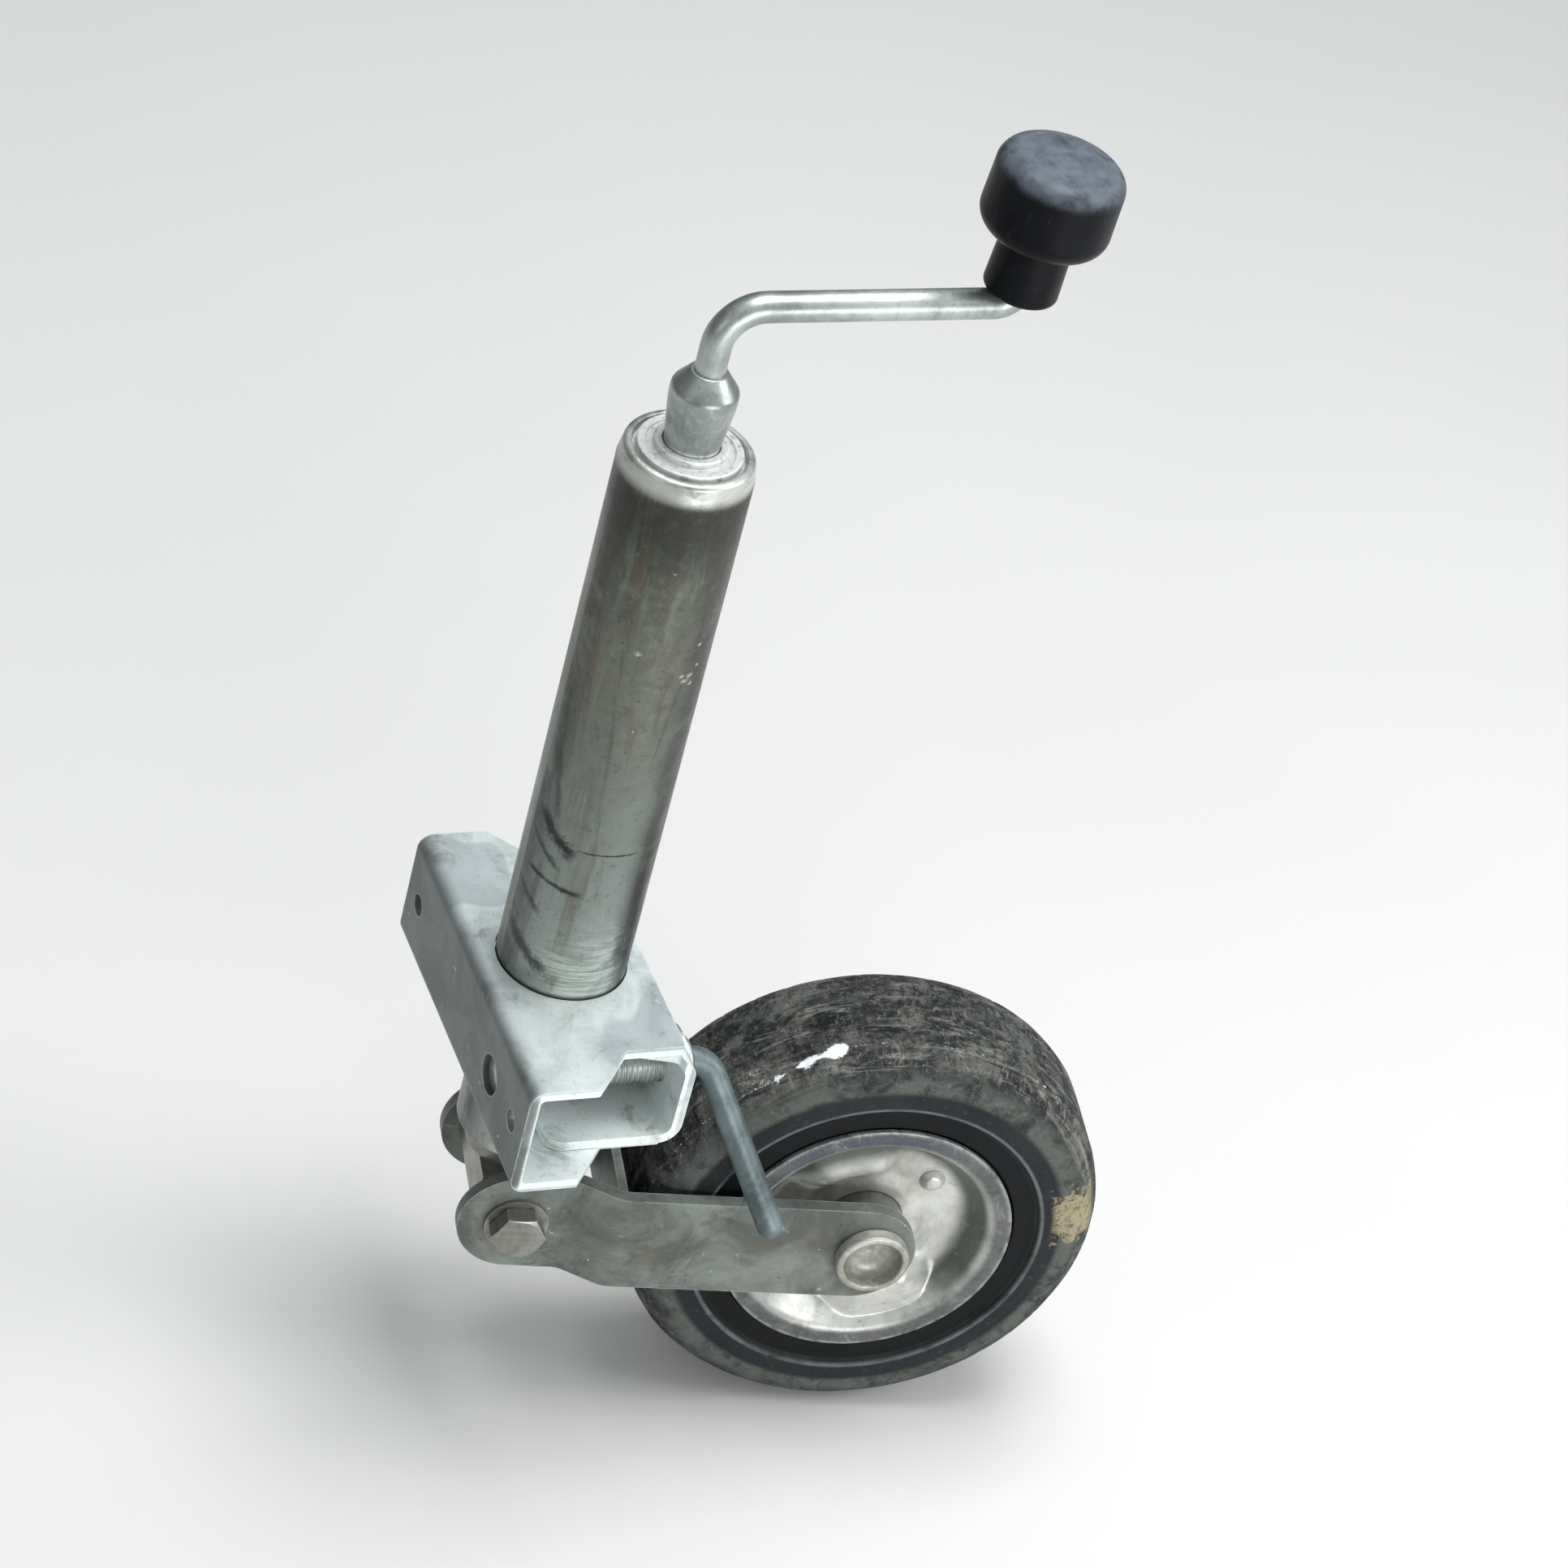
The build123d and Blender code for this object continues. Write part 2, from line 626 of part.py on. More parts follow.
# --- write every sub-part -----------------------------------------------------------------------
PIECES = {
    "mount_channel": mount_channel,
    "clamp_nut": clamp_nut,
    "clamp_jaw": clamp_jaw,
    "clamp_washer": clamp_washer,
    "clamp_screw": clamp_screw,
    "clamp_handle": clamp_handle,
    "outer_tube": outer_tube,
    "bearing_cover": bearing_cover,
    "thrust_balls": thrust_balls,
    "ball_cage": ball_cage,
    "lower_guide_bush": lower_guide_bush,
    "spindle": spindle,
    "bearing_race": bearing_race,
    "crank_hub": crank_hub,
    "hub_pin": hub_pin,
    "crank_arm": crank_arm,
    "knob_retainer": knob_retainer,
    "crank_knob": crank_knob,
    "knob_cap": knob_cap,
    "inner_tube": inner_tube,
    "spindle_nut": spindle_nut,
    "upper_guide_ring": upper_guide_ring,
    "pivot_block": pivot_block,
    "fork_strap_left": lambda: fork_strap(-1),
    "fork_strap_right": lambda: fork_strap(1),
    "fork_bridge": fork_bridge,
    "pivot_bolt": pivot_bolt,
    "pivot_nut": pivot_nut,
    "pivot_washers": pivot_washers,
    "axle_rivet": axle_rivet,
    "axle_washers": axle_washers,
    "rim_half_left": lambda: rim_half(-1),
    "rim_half_right": lambda: rim_half(1),
    "rim_band": rim_band,
    "rim_rivets": rim_rivets,
    "hub_tube": hub_tube,
    "hub_bush": hub_bush,
    "tyre": tyre,
}

os.makedirs("parts", exist_ok=True)
for piece, make in PIECES.items():
    save(make(), piece)
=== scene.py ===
import json
import math

import bpy
import numpy as np
from mathutils import Matrix, Vector


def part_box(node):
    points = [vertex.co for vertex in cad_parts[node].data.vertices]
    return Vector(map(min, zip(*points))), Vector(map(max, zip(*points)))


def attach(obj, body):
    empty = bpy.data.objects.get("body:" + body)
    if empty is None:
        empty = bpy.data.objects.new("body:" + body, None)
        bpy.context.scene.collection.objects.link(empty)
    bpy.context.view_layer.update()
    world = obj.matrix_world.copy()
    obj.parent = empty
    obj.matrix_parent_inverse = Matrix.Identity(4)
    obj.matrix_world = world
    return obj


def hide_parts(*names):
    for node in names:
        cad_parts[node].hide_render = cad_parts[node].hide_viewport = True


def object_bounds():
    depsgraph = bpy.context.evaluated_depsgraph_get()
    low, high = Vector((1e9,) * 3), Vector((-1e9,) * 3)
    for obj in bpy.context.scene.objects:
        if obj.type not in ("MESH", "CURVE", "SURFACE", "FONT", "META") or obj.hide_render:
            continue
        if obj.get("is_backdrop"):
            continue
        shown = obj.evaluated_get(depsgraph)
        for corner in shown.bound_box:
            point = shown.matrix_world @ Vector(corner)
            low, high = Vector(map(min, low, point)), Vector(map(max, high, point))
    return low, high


# Looks of a trailer jack wheel: weathered zinc tube, galvanised clamp bracket, folding fork, solid tyre.
# Metres, in the CAD row frame: +X to the rear, +Y to the trailer's right, +Z up along the tube.

MM = 0.001
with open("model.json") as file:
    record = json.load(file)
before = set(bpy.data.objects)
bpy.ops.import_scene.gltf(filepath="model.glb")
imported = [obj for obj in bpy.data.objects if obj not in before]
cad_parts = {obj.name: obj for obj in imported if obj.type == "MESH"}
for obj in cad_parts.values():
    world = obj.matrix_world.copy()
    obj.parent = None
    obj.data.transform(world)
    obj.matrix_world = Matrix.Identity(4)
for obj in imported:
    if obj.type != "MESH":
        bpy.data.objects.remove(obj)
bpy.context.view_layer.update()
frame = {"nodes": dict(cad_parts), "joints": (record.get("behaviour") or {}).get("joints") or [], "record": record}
NODES = frame["nodes"]
JOINTS = {joint["name"]: joint for joint in frame["joints"]}


# --- places taken from the frame ----------------------------------------------------------------
def joint_place(name):
    """A hinge's point and unit axis in the row frame."""
    joint = JOINTS[name]
    return Vector(joint["pos_m"]), Vector(joint["axis"]).normalized()


def middle(node):
    """The centre of a CAD node's box."""
    low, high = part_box(node)
    return (low + high) / 2


def reach_along(node, start, axis):
    """How far a CAD node reaches past a point along an axis."""
    return max((vertex.co - start).dot(axis) for vertex in NODES[node].data.vertices)


AXLE, LATERAL = joint_place("wheel_spin")
PIVOT = joint_place("fork_fold")[0]
KNOB, KNOB_AXIS = joint_place("knob_spin")
TUBE = middle("outer_tube")
TUBE_R = (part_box("outer_tube")[1].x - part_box("outer_tube")[0].x) / 2
TUBE_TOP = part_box("outer_tube")[1].z
FORWARD = (AXLE - PIVOT).normalized()

# A local frame for the wheel: u along the fork, v up, w out of the wheel's left side.
WHEEL_FRAME = Matrix(
    (
        (FORWARD.x, 0, -LATERAL.x, AXLE.x),
        (FORWARD.y, 0, -LATERAL.y, AXLE.y),
        (FORWARD.z, 1, -LATERAL.z, AXLE.z),
        (0, 0, 0, 1),
    )
)


# --- named sizes, zones and marks ---------------------------------------------------------------
# A zone is (where it starts, where it is full); a pair of zones is its inner and its outer end.

# Knob: the crown's reach along the knob's axis, then depths below it.
KNOB_CROWN = reach_along("knob_cap", KNOB, KNOB_AXIS)
KNOB_TOP_ZONE = (0.0075, 0.0015)
# Painted highlight band round the knob's top edge, as depths below the crown.
KNOB_RIM_HIGHLIGHT_ZONES = (0.0090, 0.0045), (0.0, 0.0020)

# Bracket: places along X from the mounting face, and distances from the mid-height, for the web's painted shade
# and the painted light inside.
WEB_X, WEB_Z = (0.0062, 0.0012), (0.0238, 0.0195)
INSIDE_FRONT_X, INSIDE_REAR_X, INSIDE_Z = (0.0028, 0.0040), (0.0672, 0.0662), (0.0232, 0.0222)

# Tyre and rim: radii from the axle, sizes across the tyre, the tread, and the rim's sheet and lobes.
TYRE_R = (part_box("tyre")[1].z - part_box("tyre")[0].z) / 2
STEP_R = 0.067
TYRE_HALF = 29.5 * MM
TYRE_BORE, TYRE_LIP = 50.05 * MM, 56.3 * MM
TREAD_BLOCKS = 40
TREAD_GROOVES = (-9.5 * MM, 9.5 * MM)
RIM_SHEET = 2.4 * MM
RIM_COLLAR = 17.0 * MM
LOBE_TURN = math.radians(112)
TREAD_ZONE = (0.0805, 0.0870)
SHOULDER_ZONES = (0.0735, 0.0765), (0.0860, 0.0800)
FLANK_ZONES = (0.0668, 0.0676), (0.0750, 0.0720)
RECESS_ZONE = (0.0655, 0.0640)
CLAY_ZONES = (0.0700, 0.0735), (0.0895, 0.0850)
PAINT_ZONE = (0.080, 0.084)
# The rim's disc zone, and the zone of the wall's painted shade.
RIM_DISC_ZONE, RIM_WALL_SHADE_ZONE = (0.046, 0.032), (0.035, 0.042)
RIM_LIP_ZONE, RIM_CREST_ZONE = (0.0465, 0.0505), (0.0535, 0.0550)

# Clamp screw: thread pitch, and the radii of its crests and roots.
SCREW_PITCH, SCREW_CREST, SCREW_ROOT = 2.0 * MM, 7.0 * MM, 6.1 * MM

# Tube marks. Turns about the tube in degrees, heights, depths below the top and widths in metres.
TONE_HEIGHTS = (0.015, 0.25)
# Wear above the clamp with a painted highlight: the turn it faces, and its height zone.
WEAR_AND_HIGHLIGHT_TURN = -98
WEAR_AND_HIGHLIGHT_ZONE = (0.062, 0.026)
# Painted shade band below the lip, as depths below the top.
LIP_SHADE_ZONES = (0.045, 0.018), (0.0065, 0.0110)
# Painted highlight on the rolled lip, as depths below the top.
TUBE_LIP_HIGHLIGHT_ZONE = (0.0095, 0.0045)
# Painted shade on the tube's sides: turn, reach to each side, strength.
SIDE_SHADE_BANDS = ((-190, 48, 0.80), (-32, 54, 0.96))
# Scuffs: start and end as (turn, height), half width, strength.
SCUFFS = (
    ((-170, 0.100), (-128, 0.0875), 0.0034, 0.95),
    ((-176, 0.090), (-138, 0.080), 0.0016, 0.7),
    ((-170, 0.074), (-114, 0.0720), 0.0013, 0.9),
    ((-178, 0.066), (-146, 0.058), 0.0020, 0.7),
    ((-124, 0.0915), (-72, 0.0920), 0.0005, 0.9),
    ((-178, 0.046), (-128, 0.034), 0.0032, 0.8),
    ((-165, 0.128), (-150, 0.100), 0.0020, 0.45),
)
# Chips of pale paint: turn, height, reach.
PAINT_CHIPS = (
    (-117, 0.181, 0.0014),
    (-74, 0.1715, 0.0011),
    (-70, 0.1690, 0.0016),
    (-65, 0.1710, 0.0014),
    (-62, 0.1670, 0.0012),
    (-59, 0.1745, 0.0009),
    (-62, 0.184, 0.0011),
    (-104, 0.2166, 0.0010),
    (-105, 0.148, 0.0007),
)

# Tyre marks. Dried clay at a turn about the axle; the paint dab from and to (turn, offset).
CLAY_TURN = math.radians(12)
PAINT_DAB = ((106.0, 0.0175), (125.5, 0.0222))
# The dab's width along its length, as (share of the length, share of the full width).
PAINT_WIDTHS = (
    (0.00, 0.00), (0.06, 0.90), (0.20, 1.00), (0.31, 0.42), (0.40, 0.34),
    (0.51, 0.66), (0.63, 0.45), (0.72, 0.00), (0.88, 0.05), (0.95, 0.50), (1.00, 0.00),
)
# Crumbs of paint beside the dab: turn and offset.
PAINT_CRUMBS = (math.radians(129.5), 0.0185)

# Camera at the photograph's viewing angle, and the studio's soft boxes as (place, size, watts).
CAMERA_PLACE = (-0.63265, -1.30384, 1.24312)
CAMERA_TURN = (51.58, -12.42, -19.74)
CAMERA_LENS = 121.0
LIGHTS_AIM = (0.08, 0.0, 0.08)
SOFT_BOXES = {
    "overhead": ((0.35, 0.05, 1.8), (1.1, 1.1), 30),
    "left": ((-1.5, -0.7, 0.8), (0.6, 0.8), 2),
    "right": ((1.5, -0.7, 0.9), (0.7, 0.9), 12),
    "front": ((0.30, -1.6, 0.25), (1.0, 0.5), 14),
}
SKY_SLANT = (0.45, -0.10, 1.0)
SKY_LOW, SKY_HIGH = (0.05, 0.056, 0.060), (0.92, 0.97, 1.0)
SKY_FULL_AT = 0.80
SKY_STRENGTH = 0.62
FLOOR_REACH = 8.0


# --- shader graph helpers -----------------------------------------------------------------------
class Graph:
    """Builds one procedural material from small steps."""

    def __init__(self, name):
        self.material = bpy.data.materials.new(name)
        self.material.use_nodes = True
        self.tree = self.material.node_tree
        self.shader = self.tree.nodes["Principled BSDF"]
        self.place = self.tree.nodes.new("ShaderNodeTexCoord").outputs["Object"]

    def node(self, kind, **settings):
        made = self.tree.nodes.new(kind)
        for key, value in settings.items():
            setattr(made, key, value)
        return made

    def feed(self, socket, value):
        """Link a socket to another, or set it to a plain value."""
        if isinstance(value, bpy.types.NodeSocket):
            self.tree.links.new(value, socket)
        else:
            socket.default_value = value

    def stretch(self, scale, turn=(0, 0, 0), move=(0, 0, 0), source=None):
        """Object coordinates moved, turned and scaled, for streaks and grain."""
        made = self.node("ShaderNodeMapping")
        self.feed(made.inputs["Vector"], source or self.place)
        made.inputs["Location"].default_value = move
        made.inputs["Rotation"].default_value = turn
        made.inputs["Scale"].default_value = scale
        return made.outputs["Vector"]

    def noise(self, scale, detail=4.0, rough=0.55, twist=0.0, source=None):
        """Cloudy noise about 0.5."""
        made = self.node("ShaderNodeTexNoise")
        self.feed(made.inputs["Vector"], source or self.place)
        made.inputs["Scale"].default_value = scale
        made.inputs["Detail"].default_value = detail
        made.inputs["Roughness"].default_value = rough
        made.inputs["Distortion"].default_value = twist
        return made.outputs["Fac"]

    def cells(self, scale):
        """A random colour in each cell of a crystal pattern."""
        made = self.node("ShaderNodeTexVoronoi")
        self.feed(made.inputs["Vector"], self.place)
        made.inputs["Scale"].default_value = scale
        return made.outputs["Color"]

    def band(self, value, low, high):
        """0 below low, 1 above high, smooth between; high below low turns it round."""
        made = self.node("ShaderNodeMapRange", interpolation_type="SMOOTHSTEP")
        self.feed(made.inputs["Value"], value)
        made.inputs["From Min"].default_value = min(low, high)
        made.inputs["From Max"].default_value = max(low, high)
        made.inputs["To Min"].default_value = 0.0 if low < high else 1.0
        made.inputs["To Max"].default_value = 1.0 if low < high else 0.0
        return made.outputs["Result"]

    def math(self, operation, first, second=0.0, third=0.0):
        made = self.node("ShaderNodeMath", operation=operation)
        for socket, value in zip(made.inputs, (first, second, third)):
            self.feed(socket, value)
        return made.outputs[0]

    def times(self, *values):
        product = values[0]
        for value in values[1:]:
            product = self.math("MULTIPLY", product, value)
        return product

    def parts(self, source=None):
        """The X, Y and Z of a vector."""
        made = self.node("ShaderNodeSeparateXYZ")
        self.feed(made.inputs[0], source or self.place)
        return made.outputs

    def join(self, x, y, z):
        """A vector from three values."""
        made = self.node("ShaderNodeCombineXYZ")
        for socket, value in zip(made.inputs, (x, y, z)):
            self.feed(socket, value)
        return made.outputs[0]

    def mix(self, share, first, second):
        """Two colours mixed by a share."""
        made = self.node("ShaderNodeMix", data_type="RGBA")
        self.feed(made.inputs[0], share)
        for socket, value in ((made.inputs[6], first), (made.inputs[7], second)):
            self.feed(socket, (*value, 1.0) if isinstance(value, tuple) else value)
        return made.outputs[2]

    def coat(self, tone, colour, amount, *masks):
        """The tone with a coat of colour over it, where every mask is 1, at most by the amount."""
        return self.mix(self.times(*masks, amount), tone, colour)

    def ramp(self, value, *stops):
        """A colour ramp from (position, colour) stops."""
        made = self.node("ShaderNodeValToRGB")
        self.feed(made.inputs[0], value)
        elements = made.color_ramp.elements
        while len(elements) < len(stops):
            elements.new(1.0)
        for element, (position, colour) in zip(elements, stops):
            element.position = position
            element.color = (*colour, 1.0)
        return made.outputs[0]

    def bumps(self, *layers):
        """Stacked bump layers of (height, strength, distance in metres)."""
        normal = None
        for height, strength, distance in layers:
            made = self.node("ShaderNodeBump")
            made.inputs["Strength"].default_value = strength
            made.inputs["Distance"].default_value = distance
            self.feed(made.inputs["Height"], height)
            if normal is not None:
                self.feed(made.inputs["Normal"], normal)
            normal = made.outputs[0]
        return normal

    def edges(self, radius):
        """1 where the surface turns sharply, from the rounded normal's difference to the true one."""
        soft = self.node("ShaderNodeBevel", samples=4)
        soft.inputs["Radius"].default_value = radius
        true = self.node("ShaderNodeNewGeometry").outputs["Normal"]
        made = self.node("ShaderNodeVectorMath", operation="DOT_PRODUCT")
        self.feed(made.inputs[0], soft.outputs[0])
        self.feed(made.inputs[1], true)
        return self.band(made.outputs["Value"], 0.985, 0.90)

    def finish(self, colour, roughness, metallic=0.0, normal=None, **constants):
        self.feed(self.shader.inputs["Base Color"], colour)
        self.feed(self.shader.inputs["Roughness"], roughness)
        self.feed(self.shader.inputs["Metallic"], metallic)
        if normal is not None:
            self.feed(self.shader.inputs["Normal"], normal)
        for key, value in constants.items():
            self.shader.inputs[key.replace("_", " ")].default_value = value
        return self.material


def shade(amount, colour):
    """A colour scaled in brightness."""
    return tuple(amount * part for part in colour)


# --- metals -------------------------------------------------------------------------------------
def zinc(name, light, dark, metallic, rough, wear=0.6, grime=0.45, dusty=None):
    """Weathered zinc: cloudy tone, fine grain, drag marks, dark pits, bright edges, and dust if asked for."""
    g = Graph(name)
    cloud = g.noise(28, 5, 0.6, 0.4)
    fine = g.noise(420, 3, 0.6)
    drag = g.noise(22, 4, 0.6, source=g.stretch((18, 18, 3)))
    tone = g.mix(g.band(cloud, 0.36, 0.66), dark, light)
    tone = g.coat(tone, shade(0.62, dark), 0.35, g.band(drag, 0.5, 0.72))
    tone = g.coat(tone, shade(1.35, light), 0.22, g.band(fine, 0.45, 0.75))
    smear = g.band(g.noise(52, 6, 0.72, 0.9), 0.54, 0.70)
    tone = g.coat(tone, shade(0.45, dark), grime, smear)
    pits = g.band(g.noise(300, 4, 0.7), 0.64, 0.71)
    tone = g.coat(tone, shade(0.35, dark), 0.6, pits, g.band(cloud, 0.40, 0.6))
    edges = g.times(g.edges(0.0006), g.band(g.noise(160, 3), 0.3, 0.6), wear)
    tone = g.mix(edges, tone, shade(1.5, light))
    if dusty:
        low, high = dusty
        height = g.parts()[2]
        dust = g.times(
            g.band(height, low, low + 0.001), g.band(height, high, high - 0.001), g.band(fine, 0.20, 0.50)
        )
        tone = g.coat(tone, (0.72, 0.735, 0.715), 0.85, dust)
        metallic = g.math("MULTIPLY_ADD", dust, -0.75 * metallic, metallic)
    roughness = g.math("MULTIPLY_ADD", g.noise(60, 4), rough[1] - rough[0], rough[0])
    normal = g.bumps((cloud, 0.12, 0.002), (fine, 0.12, 0.0004))
    return g.finish(tone, roughness, metallic, normal)


def galvanised():
    """Hot-dip galvanised sheet: pale and mottled, with round stains, painted light on the inside faces and painted
    shade on the web.
    """
    g = Graph("galvanised_sheet_look")
    x, _, z = g.parts()
    web = g.times(g.band(x, *WEB_X), g.band(g.math("ABSOLUTE", z), *WEB_Z))
    patch = g.noise(34, 5, 0.62, 0.5)
    speck = g.noise(500, 3, 0.65)
    spangle = g.parts(g.cells(130))[0]
    tone = g.mix(g.band(patch, 0.34, 0.68), (0.43, 0.49, 0.48), (0.63, 0.70, 0.69))
    tone = g.coat(tone, (0.68, 0.74, 0.745), 0.20, spangle)
    blotches = g.band(g.noise(23, 1, 0.3, 0.1), 0.655, 0.68)
    tone = g.coat(tone, (0.30, 0.345, 0.37), 0.55, blotches)
    runs = g.band(g.noise(30, 4, 0.6, source=g.stretch((30, 9, 2.2))), 0.58, 0.76)
    tone = g.coat(tone, (0.26, 0.29, 0.27), 0.35, runs)
    # Painted shade: the web faces away from the light, so it is coloured dark, with darker patches.
    tone = g.coat(tone, (0.095, 0.118, 0.112), 0.84, web)
    tone = g.coat(tone, (0.060, 0.072, 0.066), 0.75, web, g.band(patch, 0.60, 0.36))
    # Painted light: the clamp's inside faces, which get little light, are coloured pale.
    inside = g.times(
        g.band(g.math("ABSOLUTE", z), *INSIDE_Z), g.band(x, *INSIDE_FRONT_X), g.band(x, *INSIDE_REAR_X)
    )
    tone = g.coat(tone, (0.84, 0.90, 0.89), 0.80, inside)
    grime = g.times(g.band(g.noise(60, 6, 0.74, 0.6), 0.50, 0.66), g.band(patch, 0.62, 0.42))
    tone = g.coat(tone, (0.125, 0.135, 0.115), 0.6, grime)
    tone = g.coat(tone, (0.16, 0.18, 0.165), 0.45, g.band(speck, 0.63, 0.72))
    fleck = g.band(g.noise(210, 4, 0.7, 0.8), 0.67, 0.71)
    tone = g.coat(tone, (0.80, 0.84, 0.84), 0.7, fleck)
    edges = g.times(g.edges(0.0008), g.band(g.noise(140, 3), 0.28, 0.55), 0.7)
    tone = g.mix(edges, tone, (0.80, 0.84, 0.84))
    roughness = g.math("MULTIPLY_ADD", patch, 0.35, 0.28)
    normal = g.bumps((patch, 0.20, 0.002), (speck, 0.16, 0.0004))
    return g.finish(tone, roughness, 0.35, normal)


def tube_zinc():
    """The tube's dull dark zinc: grey-brown above, paler below, ringed where the clamp bites, with painted shade
    on its sides and below the lip, and painted highlights above the clamp and on the lip.
    """
    g = Graph("tube_zinc_look")
    x, y, z = g.parts()
    turn = g.math("ARCTAN2", g.math("SUBTRACT", y, TUBE.y), g.math("SUBTRACT", x, TUBE.x))
    around = g.times(turn, TUBE_R)
    skin = g.join(around, z, 0.0)
    cloud = g.noise(24, 6, 0.66, 0.8)
    fall = g.noise(1.0, 6, 0.66, 0.9, source=g.stretch((90, 9, 1), source=skin))
    stain = g.noise(1.0, 5, 0.66, 0.8, source=g.stretch((70, 6, 1), move=(3.1, 1.7, 0), source=skin))
    mottle = g.noise(210, 5, 0.75, 0.4)
    level = g.math("MULTIPLY_ADD", g.math("SUBTRACT", cloud, 0.5), 0.09, z)
    tone = g.ramp(
        g.band(level, *TONE_HEIGHTS),
        (0.0, (0.275, 0.308, 0.290)),
        (0.20, (0.205, 0.240, 0.222)),
        (0.45, (0.160, 0.180, 0.156)),
        (0.75, (0.140, 0.150, 0.124)),
        (1.0, (0.076, 0.082, 0.067)),
    )
    tone = g.coat(tone, (0.045, 0.046, 0.039), 0.50, g.band(fall, 0.52, 0.68))
    tone = g.coat(tone, (0.175, 0.212, 0.172), 0.60, g.band(fall, 0.48, 0.34))
    tone = g.coat(tone, (0.130, 0.098, 0.070), 0.55, g.band(stain, 0.50, 0.64))
    tone = g.coat(tone, (0.205, 0.222, 0.192), 0.40, g.band(mottle, 0.50, 0.66))
    tone = g.coat(tone, (0.040, 0.041, 0.035), 0.35, g.band(mottle, 0.46, 0.32))
    # Painted shade: the tube is darkened along the side towards the drawbar and along the rear, where it turns
    # away from the light.
    side_shade_noise = g.noise(38, 6, 0.72, 1.0)
    for centre, reach, strength in SIDE_SHADE_BANDS:
        away = g.math("ABSOLUTE", g.math("SUBTRACT", turn, math.radians(centre)))
        side = g.band(away, math.radians(reach), math.radians(reach) * 0.25)
        tone = g.coat(tone, (0.020, 0.022, 0.021), strength, side, g.band(side_shade_noise, 0.20, 0.58))
    # Just above the clamp: wear with uneven dark rings, and a painted highlight as bright patches and rings on the
    # side facing the front.
    rings = g.noise(1.0, 6, 0.78, 1.2, source=g.stretch((26, 520, 1), source=skin))
    front = g.band(g.math("ABSOLUTE", g.math("SUBTRACT", turn, math.radians(WEAR_AND_HIGHLIGHT_TURN))), 0.90, 0.30)
    near = g.times(g.band(level, *WEAR_AND_HIGHLIGHT_ZONE), g.band(g.noise(60, 5, 0.7, 0.6), 0.32, 0.52), front)
    # Painted highlight: the bright patch and bright rings stand in for light glancing off the tube's front.
    tone = g.coat(tone, (0.40, 0.43, 0.39), 0.50, near)
    tone = g.coat(tone, (0.62, 0.66, 0.61), 0.85, near, g.band(rings, 0.45, 0.53))
    tone = g.coat(tone, (0.075, 0.080, 0.070), 0.90, near, g.band(rings, 0.58, 0.63))
    seat = g.band(g.math("ABSOLUTE", g.math("SUBTRACT", z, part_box("mount_channel")[1].z)), 0.0022, 0.0004)
    tone = g.coat(tone, (0.030, 0.032, 0.028), 0.85, seat)
    # Black scuffs and a scored line.
    for start, end, half, strength in SCUFFS:
        tone = g.coat(tone, (0.016, 0.017, 0.016), strength, scuff(g, around, z, start, end, half))
    # Fine scratches, rust blush, pits and chips of pale paint.
    scratch = g.noise(1.0, 5, 0.8, 0.4, source=g.stretch((420, 60, 1), turn=(0, 0, 0.35), source=skin))
    tone = g.coat(tone, (0.32, 0.33, 0.31), 0.35, g.band(scratch, 0.63, 0.70))
    rust = g.times(g.band(g.noise(55, 5, 0.7, 0.5), 0.58, 0.72), g.band(cloud, 0.48, 0.64), 0.6)
    tone = g.mix(rust, tone, (0.125, 0.080, 0.052))
    dents = g.band(g.noise(300, 4, 0.7), 0.62, 0.70)
    tone = g.coat(tone, (0.030, 0.030, 0.026), 0.5, dents)
    for turn_at, height, reach in PAINT_CHIPS:
        aside = g.math("SUBTRACT", around, math.radians(turn_at) * TUBE_R)
        above = g.times(g.math("SUBTRACT", z, height), 1.5)
        away = g.math("SQRT", g.math("ADD", g.times(aside, aside), g.times(above, above)))
        torn = g.math("MULTIPLY_ADD", g.noise(620, 6, 0.85, 2.0), reach * 6.0, away)
        tone = g.coat(tone, (0.44, 0.47, 0.42), 0.8, g.band(torn, reach * 4.0, reach * 3.6))
    depth = g.math("SUBTRACT", TUBE_TOP, z)
    # Painted shade: a dark band below the rolled lip, where the lip shades the tube.
    collar = g.times(*(g.band(depth, *zone) for zone in LIP_SHADE_ZONES))
    tone = g.coat(tone, (0.022, 0.022, 0.019), 0.65, collar)
    # Painted highlight: the rolled lip is coloured pale where light catches it.
    lip = g.band(depth, *TUBE_LIP_HIGHLIGHT_ZONE)
    tone = g.coat(tone, (0.64, 0.66, 0.62), 0.90, lip, g.band(cloud, 0.28, 0.56))
    roughness = g.math("MULTIPLY_ADD", cloud, 0.36, 0.20)
    normal = g.bumps((cloud, 0.18, 0.003), (fall, 0.08, 0.0008), (g.noise(480, 3), 0.12, 0.0003))
    return g.finish(tone, roughness, 0.68, normal)


def scuff(g, around, z, start, end, half):
    """A ragged stroke on the tube between two (turn in degrees, height) places."""
    x0, y0 = math.radians(start[0]) * TUBE_R, start[1]
    x1, y1 = math.radians(end[0]) * TUBE_R, end[1]
    length = math.hypot(x1 - x0, y1 - y0)
    ux, uy = (x1 - x0) / length, (y1 - y0) / length
    dx = g.math("SUBTRACT", around, x0)
    dy = g.math("SUBTRACT", z, y0)
    along = g.math("ADD", g.times(dx, ux), g.times(dy, uy))
    aside = g.math("ABSOLUTE", g.math("SUBTRACT", g.times(dx, uy), g.times(dy, ux)))
    ragged = g.math("MULTIPLY_ADD", g.noise(230, 5, 0.75, 0.8), half * 2.6, aside)
    within = g.times(g.band(along, -0.002, 0.003), g.band(along, length + 0.002, length - 0.003))
    return g.times(g.band(ragged, half * 2.5, half * 1.5), within)


